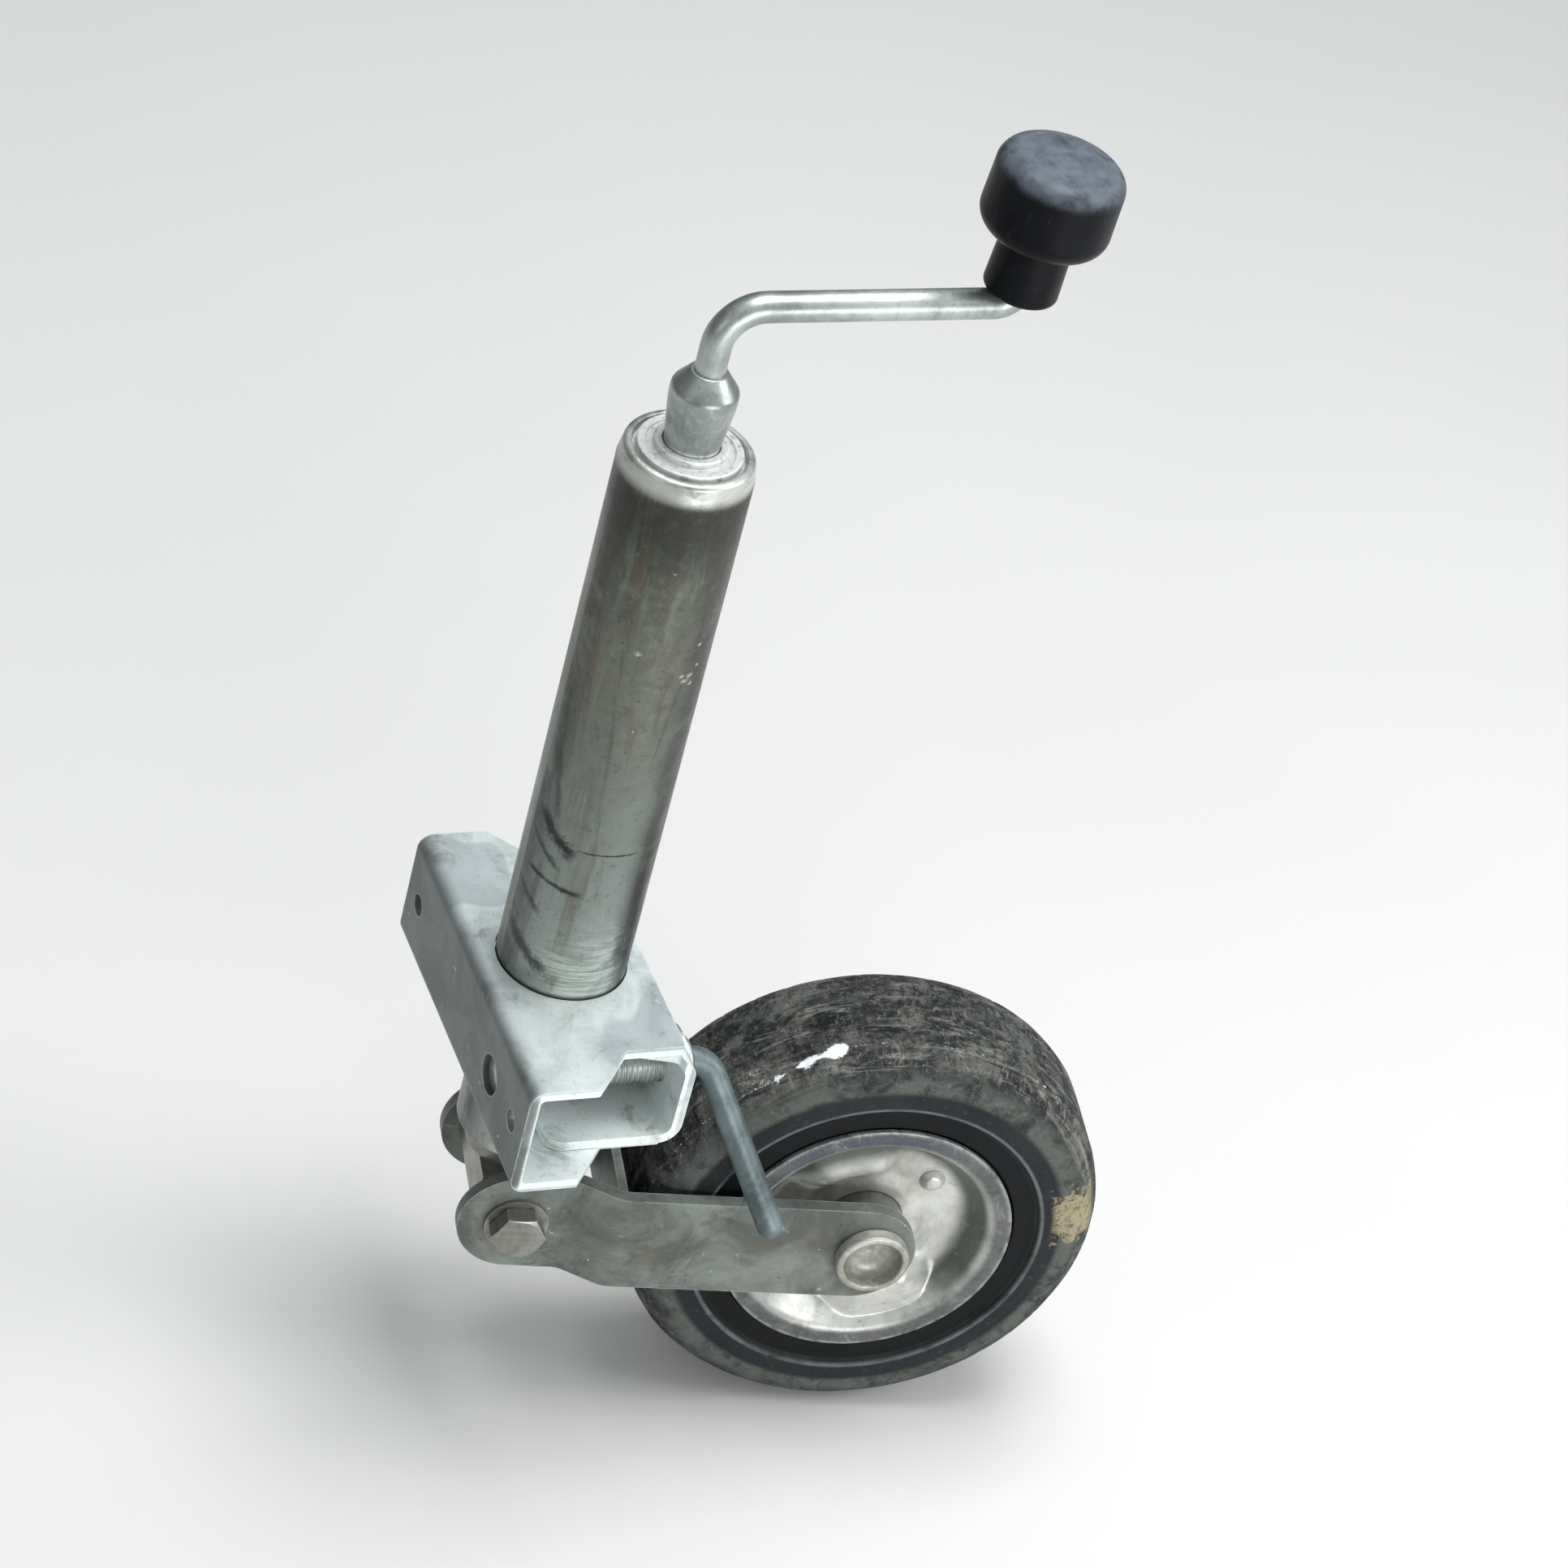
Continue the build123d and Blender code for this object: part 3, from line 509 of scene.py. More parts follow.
def strap_zinc():
    """Fork straps: grey-green weathered zinc with brown film, faint scores and small pale specks."""
    g = Graph("strap_zinc_look")
    along = g.stretch((1, 1, 1), turn=(0, 0, math.atan2(FORWARD.y, FORWARD.x)))
    cloud = g.noise(36, 6, 0.66, 0.7)
    tone = g.mix(g.band(cloud, 0.34, 0.68), (0.092, 0.106, 0.096), (0.235, 0.262, 0.240))
    film = g.band(g.noise(19, 5, 0.66, 0.6), 0.46, 0.66)
    tone = g.coat(tone, (0.130, 0.112, 0.082), 0.50, film)
    scores = g.noise(1.0, 5, 0.75, 0.5, source=g.stretch((70, 70, 520), turn=(0, 0.25, 0), source=along))
    tone = g.coat(tone, (0.42, 0.44, 0.40), 0.45, g.band(scores, 0.62, 0.70))
    specks = g.band(g.noise(118, 4, 0.68, 1.2), 0.675, 0.70)
    tone = g.coat(tone, (0.50, 0.53, 0.48), 0.75, specks)
    smear = g.band(g.noise(70, 6, 0.75, 1.0), 0.56, 0.70)
    tone = g.coat(tone, (0.050, 0.055, 0.046), 0.5, smear)
    pits = g.band(g.noise(320, 4, 0.72), 0.63, 0.70)
    tone = g.coat(tone, (0.04, 0.04, 0.034), 0.6, pits)
    edges = g.times(g.edges(0.0007), g.band(g.noise(120, 3), 0.28, 0.55), 0.75)
    tone = g.mix(edges, tone, (0.50, 0.53, 0.48))
    roughness = g.math("MULTIPLY_ADD", cloud, 0.30, 0.34)
    normal = g.bumps((cloud, 0.16, 0.003), (g.noise(380, 4), 0.16, 0.0004))
    return g.finish(tone, roughness, 0.5, normal)


def wheel_radius(g):
    """Distance from the wheel's axis and place along it, for a surface drawn in the row frame."""
    turned = g.node("ShaderNodeVectorRotate", rotation_type="AXIS_ANGLE")
    g.feed(turned.inputs["Vector"], g.place)
    turned.inputs["Center"].default_value = AXLE
    turned.inputs["Axis"].default_value = (0, 0, 1)
    turned.inputs["Angle"].default_value = -math.atan2(FORWARD.y, FORWARD.x)
    x, y, z = g.parts(turned.outputs[0])
    u = g.math("SUBTRACT", x, AXLE.x)
    v = g.math("SUBTRACT", z, AXLE.z)
    w = g.math("SUBTRACT", AXLE.y, y)
    radius = g.math("SQRT", g.math("ADD", g.times(u, u), g.times(v, v)))
    return radius, u, v, w


def rim_zinc():
    """Pressed rim: pale dull zinc, a brown film on the disc, painted dark greenish shade on the wall, a scuffed
    grey lip.
    """
    g = Graph("rim_zinc_look")
    radius, u, v, w = wheel_radius(g)
    side = g.math("ABSOLUTE", w)
    cloud = g.noise(34, 6, 0.64, 0.6)
    fine = g.noise(150, 5, 0.7, 0.6)
    tone = g.mix(g.band(cloud, 0.32, 0.68), (0.340, 0.352, 0.315), (0.720, 0.730, 0.690))
    low = g.band(side, 0.0235, 0.0150)
    film = g.times(g.band(g.noise(20, 6, 0.7, 0.8), 0.30, 0.66), g.band(radius, *RIM_DISC_ZONE), low)
    tone = g.coat(tone, (0.190, 0.180, 0.140), 0.30, film)
    # Painted shade: the rim's inner wall is coloured dark greenish where it lies in shade, fading out near the
    # bottom of the wheel.
    wall = g.times(g.band(radius, *RIM_WALL_SHADE_ZONE), g.band(side, 0.0290, 0.0250), g.band(fine, 0.10, 0.42))
    wall = g.times(wall, g.band(v, -0.036, -0.014))
    tone = g.coat(tone, (0.050, 0.060, 0.044), 0.90, wall)
    lip = g.band(radius, *RIM_LIP_ZONE)
    tone = g.coat(tone, (0.078, 0.083, 0.082), 0.90, lip)
    scuffs = g.noise(95, 7, 0.78, 1.4)
    tone = g.coat(tone, (0.070, 0.076, 0.078), 0.75, lip, g.band(scuffs, 0.48, 0.64))
    tone = g.coat(tone, (0.34, 0.35, 0.34), 0.55, lip, g.band(scuffs, 0.46, 0.32))
    crest = g.times(g.band(radius, *RIM_CREST_ZONE), g.band(fine, 0.36, 0.58))
    tone = g.coat(tone, (0.50, 0.52, 0.51), 0.50, crest)
    top = g.times(lip, g.band(v, 0.024, 0.044), g.band(u, 0.036, 0.008), g.band(radius, 0.0560, 0.0530))
    tone = g.coat(tone, (0.070, 0.082, 0.108), 0.85, top, g.band(scuffs, 0.30, 0.50))
    pits = g.band(g.noise(330, 4, 0.7), 0.63, 0.70)
    tone = g.coat(tone, (0.07, 0.07, 0.058), 0.5, pits)
    edges = g.times(g.edges(0.0006), g.band(g.noise(150, 3), 0.25, 0.5), 0.35)
    tone = g.mix(edges, tone, (0.58, 0.59, 0.55))
    roughness = g.math("MULTIPLY_ADD", cloud, 0.34, 0.20)
    grain = g.noise(420, 3)
    normal = g.bumps((cloud, 0.18, 0.002), (g.times(scuffs, lip), 0.25, 0.0005), (grain, 0.10, 0.0003))
    return g.finish(tone, roughness, 0.50, normal)


def plain_steel():
    """Bare turned steel with a film of old grease."""
    g = Graph("plain_steel_look")
    grease = g.noise(45, 5, 0.65, 0.6)
    turning = g.noise(1.0, 3, 0.6, source=g.stretch((20, 20, 1400)))
    tone = g.mix(g.band(grease, 0.32, 0.78), (0.300, 0.302, 0.285), (0.135, 0.122, 0.092))
    tone = g.coat(tone, (0.52, 0.52, 0.50), 0.12, g.band(turning, 0.5, 0.62))
    edges = g.times(g.edges(0.0006), 0.5)
    tone = g.mix(edges, tone, (0.60, 0.60, 0.57))
    roughness = g.math("MULTIPLY_ADD", grease, 0.25, 0.25)
    return g.finish(tone, roughness, 0.8, g.bumps((turning, 0.06, 0.0002), (grease, 0.1, 0.001)))


def bearing_steel():
    """Polished bearing steel with oil streaks."""
    g = Graph("bearing_steel_look")
    oil = g.noise(160, 4, 0.6, 0.5)
    tone = g.mix(g.band(oil, 0.45, 0.6), (0.62, 0.62, 0.61), (0.40, 0.36, 0.28))
    return g.finish(tone, g.math("MULTIPLY_ADD", oil, 0.15, 0.10), 1.0, g.bumps((oil, 0.05, 0.0004)))


def cage_brass():
    """Stamped brass with dark oil in its pockets."""
    g = Graph("cage_brass_look")
    oil = g.noise(140, 4, 0.6, 0.5)
    tone = g.mix(g.band(oil, 0.42, 0.62), (0.66, 0.49, 0.22), (0.24, 0.15, 0.06))
    return g.finish(tone, g.math("MULTIPLY_ADD", oil, 0.25, 0.25), 0.9, g.bumps((oil, 0.1, 0.0004)))


# --- plastics and rubber ------------------------------------------------------------------------
def guide_nylon():
    """Natural nylon, slightly translucent, greased."""
    g = Graph("guide_nylon_look")
    grease = g.noise(90, 4, 0.6, 0.6)
    tone = g.mix(g.band(grease, 0.45, 0.65), (0.62, 0.60, 0.52), (0.30, 0.25, 0.17))
    roughness = g.math("MULTIPLY_ADD", grease, 0.25, 0.35)
    return g.finish(tone, roughness, 0.0, g.bumps((g.noise(600, 3), 0.1, 0.0002)), Subsurface_Weight=0.08)


def knob_plastic():
    """Black moulded plastic: satin sides, a dusty top with a painted sky reflection and fine scratches, a painted
    highlight round the top edge, and greyed edges that are partly worn and partly painted highlight.
    """
    g = Graph("knob_plastic_look")
    reach = g.node("ShaderNodeVectorMath", operation="DOT_PRODUCT")
    g.feed(reach.inputs[0], g.place)
    g.feed(reach.inputs[1], tuple(KNOB_AXIS))
    height = g.math("SUBTRACT", reach.outputs["Value"], KNOB.dot(KNOB_AXIS))
    below = g.math("SUBTRACT", KNOB_CROWN, height)
    top = g.band(below, *KNOB_TOP_ZONE)
    dust = g.noise(95, 5, 0.65)
    scratch = g.noise(1.0, 6, 0.8, 0.5, source=g.stretch((55, 480, 60), turn=(0, 0, 0.5)))
    scratch = g.band(scratch, 0.58, 0.66)
    fine = g.noise(1.0, 6, 0.8, 0.5, source=g.stretch((460, 80, 60), turn=(0, 0, 0.2)))
    fine = g.band(fine, 0.60, 0.67)
    tone = g.mix(g.band(dust, 0.35, 0.7), (0.0016, 0.0020, 0.0032), (0.0042, 0.0050, 0.0070))
    # Dust and a painted sky reflection: the top is coloured blue-grey.
    tone = g.coat(tone, (0.130, 0.155, 0.188), 0.90, top, g.band(dust, 0.10, 0.70))
    tone = g.coat(tone, (0.050, 0.056, 0.066), 0.22, scratch)
    tone = g.coat(tone, (0.13, 0.14, 0.155), 0.5, fine, top)
    # Painted highlight: a pale band round the rounded top edge stands in for the sky's reflection.
    rim = g.times(*(g.band(below, *zone) for zone in KNOB_RIM_HIGHLIGHT_ZONES))
    tone = g.coat(tone, (0.12, 0.138, 0.165), 0.55, rim, g.band(dust, 0.30, 0.62))
    # Greyed edges: partly worn, partly a painted highlight.
    edges = g.times(g.edges(0.0012), g.band(g.noise(150, 4), 0.35, 0.6), 0.35)
    tone = g.mix(edges, tone, (0.06, 0.066, 0.080))
    roughness = g.math("MULTIPLY_ADD", dust, 0.30, 0.22)
    normal = g.bumps((dust, 0.10, 0.0006), (scratch, 0.10, 0.0002), (g.noise(900, 2), 0.08, 0.0002))
    return g.finish(tone, roughness, 0.0, normal, Specular_IOR_Level=0.12)


def tyre_rubber():
    """Old solid rubber: dark flanks with a painted highlight along the side ring, dusty shoulders, a scoured
    tread, a dab of paint and dried clay.
    """
    g = Graph("tyre_rubber_look")
    radius, u, v, w = wheel_radius(g)
    angle = g.math("ARCTAN2", v, u)
    along = g.times(angle, TYRE_R)
    skin = g.join(along, w, radius)
    cloud = g.noise(30, 6, 0.68, 0.6)
    grit = g.noise(400, 5, 0.75)
    tone = g.mix(g.band(cloud, 0.35, 0.68), (0.0085, 0.0100, 0.0105), (0.024, 0.027, 0.0265))
    # Tread: pale scoured patches, black blotches, streaks round the tyre and cross hatching.
    tread = g.band(radius, *TREAD_ZONE)
    blotch = g.noise(40, 7, 0.76, 1.0)
    tone = g.coat(tone, (0.118, 0.121, 0.110), 0.8, tread, g.band(blotch, 0.44, 0.62))
    streaks = g.noise(1.0, 7, 0.74, 0.9, source=g.stretch((34, 250, 250), source=skin))
    tone = g.coat(tone, (0.235, 0.238, 0.215), 0.8, tread, g.band(streaks, 0.53, 0.66))
    tone = g.coat(tone, (0.0075, 0.0085, 0.0090), 0.85, tread, g.band(streaks, 0.47, 0.36))
    hatch = g.noise(1.0, 6, 0.74, 0.8, source=g.stretch((240, 60, 60), source=skin))
    tone = g.coat(tone, (0.190, 0.190, 0.172), 0.65, tread, g.band(hatch, 0.57, 0.68))
    tone = g.coat(tone, (0.0070, 0.0075, 0.0080), 0.6, tread, g.band(hatch, 0.43, 0.34))
    tone = g.coat(tone, (0.0070, 0.0078, 0.0085), 0.75, tread, g.band(blotch, 0.44, 0.34))
    tone = g.coat(tone, (0.165, 0.168, 0.148), 0.45, tread, g.band(grit, 0.52, 0.64))
    tone = g.coat(tone, (0.0055, 0.0065, 0.0070), 0.60, tread, g.band(grit, 0.46, 0.36))
    chips = g.times(tread, g.band(g.noise(190, 6, 0.8, 1.4), 0.60, 0.65))
    tone = g.coat(tone, (0.27, 0.27, 0.24), 0.75, chips)
    # Shoulder: a greenish dusty band above a blue-black flank, with a painted highlight as a pale line along the
    # raised ring.
    shoulder = g.times(*(g.band(radius, *zone) for zone in SHOULDER_ZONES))
    dust = g.noise(58, 7, 0.74, 0.8)
    tone = g.coat(tone, (0.112, 0.126, 0.112), 0.75, shoulder, g.band(dust, 0.34, 0.58))
    tone = g.coat(tone, (0.17, 0.172, 0.150), 0.45, shoulder, g.band(grit, 0.54, 0.66))
    flank = g.times(*(g.band(radius, *zone) for zone in FLANK_ZONES))
    tone = g.coat(tone, (0.016, 0.020, 0.024), 0.6, flank)
    tone = g.coat(tone, (0.070, 0.078, 0.080), 0.4, flank, g.band(grit, 0.56, 0.68))
    # Painted highlight: a pale line along the edge of the raised side ring.
    ring_highlight = g.band(g.math("ABSOLUTE", g.math("SUBTRACT", radius, STEP_R)), 0.0012, 0.0003)
    tone = g.coat(tone, (0.19, 0.205, 0.21), 0.65, ring_highlight, g.band(g.noise(50, 5, 0.7), 0.25, 0.65))
    tone = g.coat(tone, (0.0035, 0.0042, 0.0060), 0.85, g.band(radius, *RECESS_ZONE))
    # Dried clay on the shoulder behind, and the dab of white paint across the tread's edge.
    crumbs = g.noise(150, 7, 0.80, 1.4)
    reach = g.math("ABSOLUTE", g.math("SUBTRACT", angle, CLAY_TURN))
    reach = g.math("MULTIPLY_ADD", g.math("SUBTRACT", crumbs, 0.5), 0.80, reach)
    clay = g.times(
        g.band(reach, 0.150, 0.095), *(g.band(radius, *zone) for zone in CLAY_ZONES),
        g.band(g.math("MULTIPLY_ADD", crumbs, -0.020, w), 0.0075, 0.0100), g.band(crumbs, 0.62, 0.56),
    )
    tone = g.coat(tone, (0.33, 0.285, 0.175), 0.92, clay, g.band(grit, 0.30, 0.50))
    paint = g.times(paint_dab(g, along, w), g.band(radius, *PAINT_ZONE))
    tone = g.coat(tone, (0.78, 0.80, 0.83), 0.97, paint)
    near_dab = g.times(
        g.band(g.math("ABSOLUTE", g.math("SUBTRACT", angle, PAINT_CRUMBS[0])), 0.085, 0.040),
        g.band(g.math("ABSOLUTE", g.math("SUBTRACT", w, PAINT_CRUMBS[1])), 0.0045, 0.0020),
    )
    crumb = g.band(g.noise(330, 5, 0.8, 1.0), 0.56, 0.60)
    tone = g.coat(tone, (0.50, 0.48, 0.41), 0.9, near_dab, crumb)
    roughness = g.math("MULTIPLY_ADD", cloud, 0.26, 0.50)
    normal = g.bumps(
        (g.times(streaks, tread), 0.50, 0.0014),
        (g.times(hatch, tread), 0.40, 0.0012),
        (g.times(blotch, tread), 0.35, 0.0020),
        (grit, 0.28, 0.0005),
    )
    return g.finish(tone, roughness, 0.0, normal, Specular_IOR_Level=0.16)


def paint_dab(g, along, w):
    """White paint that ran along the tread: a big blob, a thin neck, a smaller blob and a drip."""
    (start, start_w), (end, end_w) = PAINT_DAB
    start, end = math.radians(start) * TYRE_R, math.radians(end) * TYRE_R
    share = g.node("ShaderNodeMapRange")
    g.feed(share.inputs["Value"], along)
    share.inputs["From Min"].default_value = start
    share.inputs["From Max"].default_value = end
    share = share.outputs["Result"]
    width = g.ramp(share, *[(place, (half,) * 3) for place, half in PAINT_WIDTHS])
    centre = g.math("MULTIPLY_ADD", share, end_w - start_w, start_w)
    aside = g.math("ABSOLUTE", g.math("SUBTRACT", w, centre))
    ragged = g.math("MULTIPLY_ADD", g.noise(360, 6, 0.8, 1.6), 0.0052, aside)
    limit = g.math("MULTIPLY_ADD", width, 0.0030, 0.0022)
    return g.band(g.math("SUBTRACT", limit, ragged), -0.0003, 0.0002)


LOOKS = {
    "galvanised_sheet": galvanised(),
    "tube_zinc": tube_zinc(),
    "bright_zinc": zinc(
        "bright_zinc_look", (0.48, 0.520, 0.505), (0.25, 0.280, 0.268), 0.80, (0.28, 0.44), 0.5, 0.15,
        dusty=(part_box("bearing_cover")[0].z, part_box("bearing_cover")[1].z + 0.0015),
    ),
    "handle_zinc": zinc("handle_zinc_look", (0.148, 0.192, 0.198), (0.060, 0.083, 0.086), 0.45, (0.34, 0.58)),
    "strap_zinc": strap_zinc(),
    "axle_zinc": zinc(
        "axle_zinc_look", (0.66, 0.675, 0.62), (0.30, 0.305, 0.265), 0.60, (0.42, 0.56), 0.1, 0.12
    ),
    "rim_zinc": rim_zinc(),
    "plain_steel": plain_steel(),
    "bearing_steel": bearing_steel(),
    "cage_brass": cage_brass(),
    "guide_nylon": guide_nylon(),
    "knob_plastic": knob_plastic(),
    "tyre_rubber": tyre_rubber(),
}


# --- mesh helpers -------------------------------------------------------------------------------
def mesh_piece(name, points, faces, look, body, place=Matrix.Identity(4)):
    """A mesh object in the row frame that rides a body and wears a look."""
    mesh = bpy.data.meshes.new(name)
    mesh.from_pydata([tuple(place @ Vector(point)) for point in points], [], faces)
    mesh.materials.append(LOOKS[look])
    mesh.polygons.foreach_set("use_smooth", [True] * len(mesh.polygons))
    mesh.validate()
    piece = bpy.data.objects.new(name, mesh)
    bpy.context.scene.collection.objects.link(piece)
    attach(piece, body)
    return piece


def closed_grid(rows, columns, wrap_rows):
    """Quads of a grid whose columns close on themselves, and whose rows may too."""
    faces = []
    for row in range(rows if wrap_rows else rows - 1):
        after = (row + 1) % rows
        for column in range(columns):
            beside = (column + 1) % columns
            faces.append((row * columns + column, row * columns + beside,
                          after * columns + beside, after * columns + column))
    return faces


def rounded_path(corners, step, closed=False):
    """Points along a path of straight runs and arcs from (x, y, rounding) corners, about step apart."""
    count = len(corners)
    spots = []
    for index, (x, y, blend) in enumerate(corners):
        here = np.array((x, y))
        if not closed and index in (0, count - 1) or blend == 0:
            spots.append([here])
            continue
        back = np.array(corners[index - 1][:2]) - here
        ahead = np.array(corners[(index + 1) % count][:2]) - here
        back_unit = back / np.linalg.norm(back)
        ahead_unit = ahead / np.linalg.norm(ahead)
        half = math.acos(np.clip(back_unit @ ahead_unit, -1, 1)) / 2
        tangent = blend / math.tan(half)
        bisector = back_unit + ahead_unit
        centre = here + bisector / np.linalg.norm(bisector) * blend / math.sin(half)
        first = here + back_unit * tangent - centre
        last = here + ahead_unit * tangent - centre
        start = math.atan2(first[1], first[0])
        turn = (math.atan2(last[1], last[0]) - start + math.pi) % (2 * math.pi) - math.pi
        pieces = max(3, int(abs(turn) * blend / step))
        turns = [start + turn * k / pieces for k in range(pieces + 1)]
        spots.append([centre + blend * np.array((math.cos(at), math.sin(at))) for at in turns])
    path = []
    for index, spot in enumerate(spots):
        if path or closed:
            last = path[-1] if path else spots[-1][-1]
            gap = np.linalg.norm(spot[0] - last)
            pieces = max(1, int(gap / step))
            path += [last + (spot[0] - last) * k / pieces for k in range(1, pieces)]
        path += spot
    return np.array(path)


def smoothstep(value, low, high):
    """0 below low, 1 above high, smooth between."""
    share = np.clip((value - low) / (high - low), 0, 1)
    return share * share * (3 - 2 * share)


def ripple(angle, seed, waves):
    """A smooth irregular curve round a circle, about -1 to 1, the same on each run."""
    random = np.random.default_rng(seed)
    total = np.zeros_like(angle)
    for count in waves:
        total += random.uniform(0.4, 1.0) * np.sin(count * angle + random.uniform(0, 2 * math.pi))
    return total / (0.7 * len(waves))


# --- tyre ---------------------------------------------------------------------------------------
def tyre():
    """Solid tyre: raised side ring, rounded shoulders, and a shallow worn block tread."""
    side = [
        (TYRE_BORE, 19.5 * MM, 0),
        (51.5 * MM, 23.5 * MM, 0),
        (TYRE_LIP, 25.3 * MM, 0.5 * MM),
        (TYRE_LIP, 27.6 * MM, 0.6 * MM),
        (STEP_R - 1.6 * MM, 27.4 * MM, 0.8 * MM),
        (STEP_R - 0.4 * MM, TYRE_HALF, 0.5 * MM),
        (STEP_R + 3.2 * MM, TYRE_HALF, 3.0 * MM),
        (TYRE_R, TYRE_HALF - 2.2 * MM, 15.2 * MM),
    ]
    other = [(r, -w, blend) for r, w, blend in reversed(side)]
    path = rounded_path(side + other, 1.0 * MM, closed=True)
    columns = 540
    angle = np.linspace(0, 2 * math.pi, columns, endpoint=False)
    r = path[:, :1] + np.zeros((1, columns))
    w = path[:, 1:] + np.zeros((1, columns))
    on_tread = smoothstep(r, TYRE_R - 7 * MM, TYRE_R - 3 * MM)
    # Two worn circumferential grooves and staggered cross cuts between them.
    worn = 0.65 + 0.35 * ripple(angle, 3, (2, 3, 5))
    depth = np.zeros_like(r)
    for centre in TREAD_GROOVES:
        depth = np.maximum(depth, 0.8 * MM * (1 - smoothstep(np.abs(w - centre), 0.5 * MM, 1.3 * MM)))
    left, right = TREAD_GROOVES
    for low, high, shift in ((-1, left, 0.0), (left, right, 0.5), (right, 1, 0.0)):
        row = (w > low) & (w < high)
        phase = (angle * TREAD_BLOCKS / (2 * math.pi) + shift) % 1
        from_cut = np.minimum(phase, 1 - phase) * 2 * math.pi / TREAD_BLOCKS * TYRE_R
        cut = 0.6 * MM * (1 - smoothstep(from_cut, 0.35 * MM, 1.1 * MM))
        depth = np.where(row, np.maximum(depth, cut + np.zeros_like(depth)), depth)
    wave = 0.18 * MM * ripple(angle, 7, (11, 17, 29, 41)) + 0.25 * MM * ripple(angle, 8, (2, 3, 4))
    r = r - on_tread * (depth * np.clip(worn, 0.2, 1) + 0.45 * MM + wave)
    points = np.stack([r * np.cos(angle), r * np.sin(angle), w], axis=-1).reshape(-1, 3)
    piece = mesh_piece("tyre_worn", points, closed_grid(len(path), columns, True),
                       "tyre_rubber", "wheel", WHEEL_FRAME)
    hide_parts("tyre")


# --- rim ----------------------------------------------------------------------------------------
def lobe_height(r, angle):
    """How far the two pressed lobes stand out at a radius and angle, as a height above the mid-plane."""
    near = np.abs((angle - LOBE_TURN + math.pi / 2) % math.pi - math.pi / 2)
    along = 1 - smoothstep(near, math.radians(14), math.radians(50))
    across = smoothstep(r, 16.0 * MM, 34.0 * MM) * (1 - 0.10 * smoothstep(r, 38.0 * MM, 46.0 * MM))
    return (10.5 + 13.5 * along * across) * MM


def rim_half(name, sign, node):
    """Pressed disc of the rim with its two lobes, made as a bent sheet."""
    corners = [
        (15.05 * MM, RIM_COLLAR, 0),
        (18.5 * MM, RIM_COLLAR, 5.0 * MM),
        (24.5 * MM, 15.0 * MM, 6.0 * MM),
        (39.5 * MM, 15.0 * MM, 9.0 * MM),
        (49.0 * MM, 27.95 * MM, 4.0 * MM),
        (55.5 * MM, 27.95 * MM, 0),
    ]
    path = rounded_path(corners, 0.6 * MM)
    columns = 288
    angle = np.linspace(0, 2 * math.pi, columns, endpoint=False)
    r = path[:, :1] + np.zeros((1, columns))
    w = path[:, 1:] + np.zeros((1, columns))
    lobe = lobe_height(r, angle)
    blend = 3.0 * MM
    raised = (w + lobe + np.sqrt((w - lobe) ** 2 + blend ** 2)) / 2
    share = smoothstep(r, 17.0 * MM, 22.0 * MM) * (1 - smoothstep(r, 43.5 * MM, 47.5 * MM))
    w = w + (raised - w) * share
    rise = np.gradient(w, axis=0)
    run = np.gradient(r, axis=0)
    length = np.maximum(np.sqrt(rise ** 2 + run ** 2), 1e-9)
    offset_r, offset_w = -rise / length * RIM_SHEET / 2, run / length * RIM_SHEET / 2
    front = np.stack([(r + offset_r) * np.cos(angle), (r + offset_r) * np.sin(angle), (w + offset_w)], -1)
    back = np.stack([(r - offset_r) * np.cos(angle), (r - offset_r) * np.sin(angle), (w - offset_w)], -1)
    points = np.concatenate([front, back[::-1]]).reshape(-1, 3)
    points[:, 1] *= sign
    points[:, 2] *= sign
    faces = closed_grid(2 * len(path), columns, True)
    piece = mesh_piece(name, points, faces, "rim_zinc", "wheel", WHEEL_FRAME)
    soften = piece.modifiers.new("edge", "BEVEL")
    soften.width = 0.4 * MM
    soften.segments = 2
    soften.limit_method = "ANGLE"
    soften.angle_limit = math.radians(50)
    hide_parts(node)


# --- clamp screw --------------------------------------------------------------------------------
def clamp_screw():
    """Threaded shank with its collar."""
    low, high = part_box("clamp_screw")
    axis_y, axis_z = (low.y + high.y) / 2, (low.z + high.z) / 2
    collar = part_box("clamp_washer")[1].x
    tip, end = low.x, collar - 0.4 * MM
    columns, step = 48, 0.25 * MM
    rows = int((end - tip) / step)
    x = np.linspace(tip, end, rows)[:, None]
    angle = np.linspace(0, 2 * math.pi, columns, endpoint=False)[None, :]
    phase = ((x - tip) / SCREW_PITCH - angle / (2 * math.pi)) % 1
    tooth = np.clip((np.abs(phase - 0.5) * 2 - 0.1) / 0.75, 0, 1)
    fade = smoothstep(x, tip, tip + 2 * MM) * (1 - smoothstep(x, end - 1.5 * MM, end))
    radius = SCREW_ROOT + (SCREW_CREST - SCREW_ROOT) * tooth * fade
    collar_r = (high.z - low.z) / 2
    profile = rounded_path([(SCREW_ROOT, end, 0), (collar_r, collar, 0.8 * MM),
                            (collar_r, high.x, 1.4 * MM), (SCREW_ROOT, high.x, 0)], 0.5 * MM)[1:]
    x = np.concatenate([x, profile[:, 1:]])
    radius = np.concatenate([radius, profile[:, :1] + 0 * angle])
    points = np.stack([x + 0 * angle, radius * np.cos(angle) + axis_y, radius * np.sin(angle) + axis_z], -1)
    points = points.reshape(-1, 3)
    faces = closed_grid(len(x), columns, False)
    faces.append(tuple(reversed(range(columns))))
    faces.append(tuple(range(len(points) - columns, len(points))))
    piece = mesh_piece("clamp_screw_threaded", points, faces, "bright_zinc", "clamp_screw_body")
    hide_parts("clamp_screw")


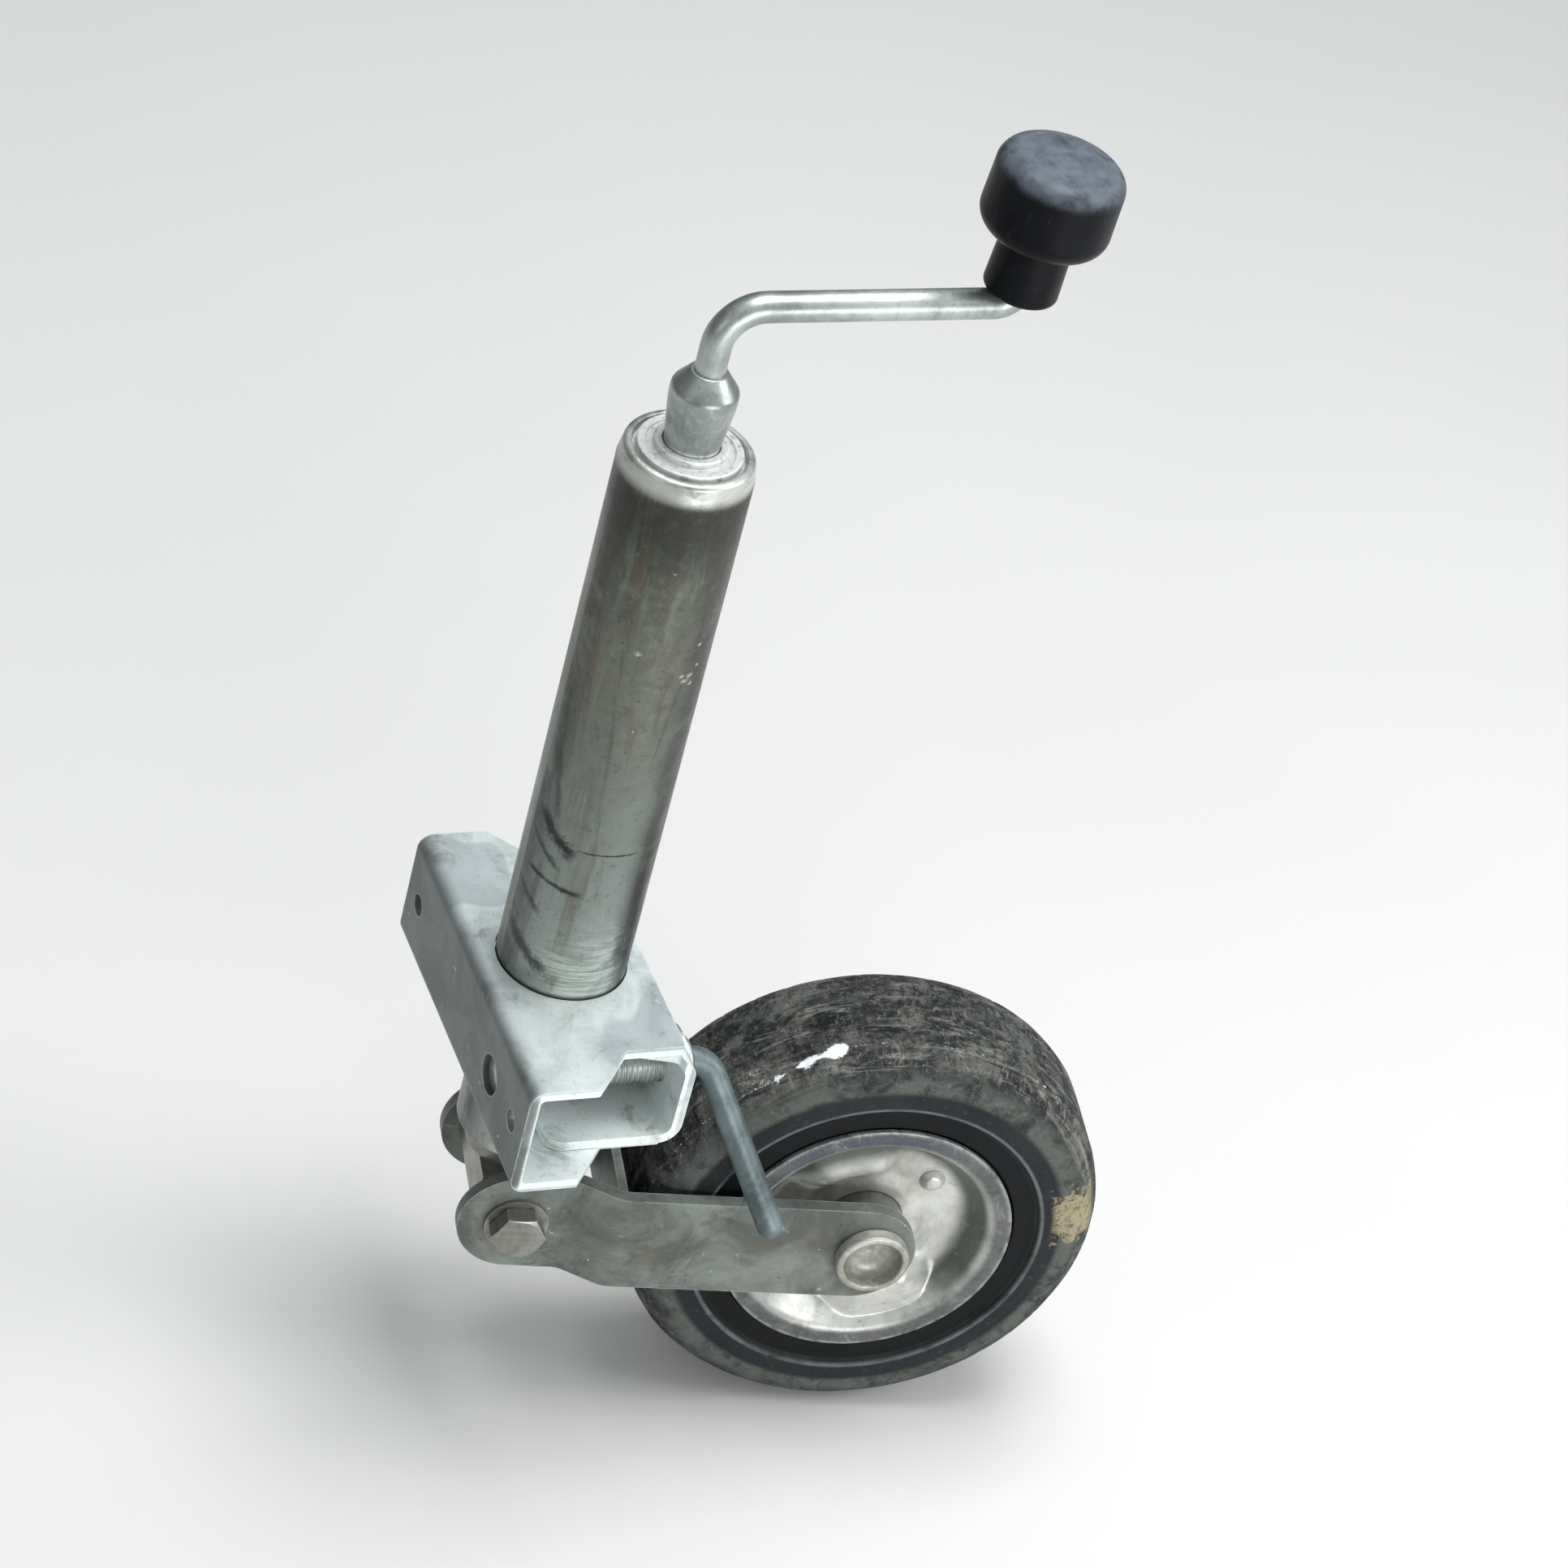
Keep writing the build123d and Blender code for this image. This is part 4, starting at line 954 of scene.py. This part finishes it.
# --- weld beads ---------------------------------------------------------------------------------
def weld_bead(name, centre, ring_r, bead_r, look, body, seed):
    """A rippled ring of weld about a line along X."""
    columns, rows = 96, 10
    turn = np.linspace(0, 2 * math.pi, columns, endpoint=False)
    around = np.linspace(0, 2 * math.pi, rows, endpoint=False)[:, None]
    ripples = 1 + 0.16 * np.abs(np.sin(turn * 11)) + 0.08 * ripple(turn, seed, (3, 5, 8))
    radius = ring_r + bead_r * ripples * np.cos(around)
    lift = bead_r * ripples * np.sin(around)
    spin = Vector((0, 0, 1)).rotation_difference(Vector((1, 0, 0))).to_matrix().to_4x4()
    place = Matrix.Translation(centre) @ spin
    points = np.stack([radius * np.cos(turn), radius * np.sin(turn), lift + 0 * turn], -1).reshape(-1, 3)
    return mesh_piece(name, points, closed_grid(rows, columns, True), look, body, place)


def weld_beads():
    """Welds round the handle at the screw's collar, and round the clamp nut."""
    screw_low, screw_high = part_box("clamp_screw")
    axis_y, axis_z = (screw_low.y + screw_high.y) / 2, (screw_low.z + screw_high.z) / 2
    weld_bead("handle_weld", (screw_high.x, axis_y, axis_z), ring_r=5.4 * MM, bead_r=1.3 * MM,
              look="handle_zinc", body="clamp_screw_body", seed=5)
    nut_low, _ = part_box("clamp_nut")
    weld_bead("nut_weld", (nut_low.x + 0.4 * MM, axis_y, axis_z), ring_r=11.6 * MM, bead_r=1.5 * MM,
              look="galvanised_sheet", body="bracket", seed=6)


# --- CAD nodes keep their shape and get their looks ---------------------------------------------
def dress_nodes():
    """Gives each CAD node the look of its material slot."""
    slot_of = {part["node"]: part["material_slot"] for part in frame["record"]["subparts"]}
    for name, node in NODES.items():
        node.data.materials.clear()
        node.data.materials.append(LOOKS[slot_of[name]])


# --- stage --------------------------------------------------------------------------------------
def floor():
    """A wide, flat, pale floor under the object."""
    g = Graph("floor_look")
    mottle = g.noise(3.0, 4, 0.5)
    tone = g.mix(mottle, (0.630, 0.624, 0.616), (0.680, 0.674, 0.666))
    g.finish(tone, 0.7, 0.0, g.bumps((g.noise(90, 3), 0.02, 0.001)))
    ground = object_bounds()[0][2]
    corners = [(x * FLOOR_REACH, y * FLOOR_REACH, ground) for x, y in ((-1, -1), (1, -1), (1, 1), (-1, 1))]
    mesh = bpy.data.meshes.new("floor")
    mesh.from_pydata(corners, [], [(0, 1, 2, 3)])
    mesh.materials.append(g.material)
    sheet = bpy.data.objects.new("floor", mesh)
    bpy.context.scene.collection.objects.link(sheet)
    sheet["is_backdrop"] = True


def area_light(name, place, size, power):
    """A soft box that faces the object."""
    data = bpy.data.lights.new(name, "AREA")
    data.shape = "RECTANGLE"
    data.size, data.size_y = size
    data.energy = power
    lamp = bpy.data.objects.new(name, data)
    lamp.location = place
    lamp.rotation_euler = (Vector(LIGHTS_AIM) - Vector(place)).to_track_quat("-Z", "Y").to_euler()
    bpy.context.scene.collection.objects.link(lamp)


def lights():
    """A pale sky, darker low down and towards the drawbar, and four soft boxes."""
    world = bpy.data.worlds.new("studio")
    bpy.context.scene.world = world
    world.use_nodes = True
    tree = world.node_tree
    direction = tree.nodes.new("ShaderNodeTexCoord")
    slant = tree.nodes.new("ShaderNodeVectorMath")
    slant.operation = "DOT_PRODUCT"
    slant.inputs[1].default_value = SKY_SLANT
    ramp = tree.nodes.new("ShaderNodeValToRGB")
    for element, position, colour in zip(ramp.color_ramp.elements, (0.0, SKY_FULL_AT), (SKY_LOW, SKY_HIGH)):
        element.position = position
        element.color = (*colour, 1.0)
    tree.links.new(direction.outputs["Generated"], slant.inputs[0])
    tree.links.new(slant.outputs["Value"], ramp.inputs[0])
    tree.links.new(ramp.outputs[0], tree.nodes["Background"].inputs["Color"])
    tree.nodes["Background"].inputs["Strength"].default_value = SKY_STRENGTH
    for name, (place, size, power) in SOFT_BOXES.items():
        area_light(name, place, size, power)


def camera():
    """The photograph's viewing angle, with a long lens aimed at the object."""
    data = bpy.data.cameras.new("view")
    data.sensor_width = 36.0
    data.lens = CAMERA_LENS
    data.clip_start = 0.05
    eye = bpy.data.objects.new("view", data)
    eye.location = CAMERA_PLACE
    eye.rotation_euler = tuple(math.radians(degrees) for degrees in CAMERA_TURN)
    bpy.context.scene.collection.objects.link(eye)
    bpy.context.scene.camera = eye


dress_nodes()
tyre()
rim_half("rim_left_pressed", 1, "rim_half_left")
rim_half("rim_right_pressed", -1, "rim_half_right")
clamp_screw()
weld_beads()
floor()
lights()
camera()
bpy.context.scene.view_settings.view_transform = "Standard"
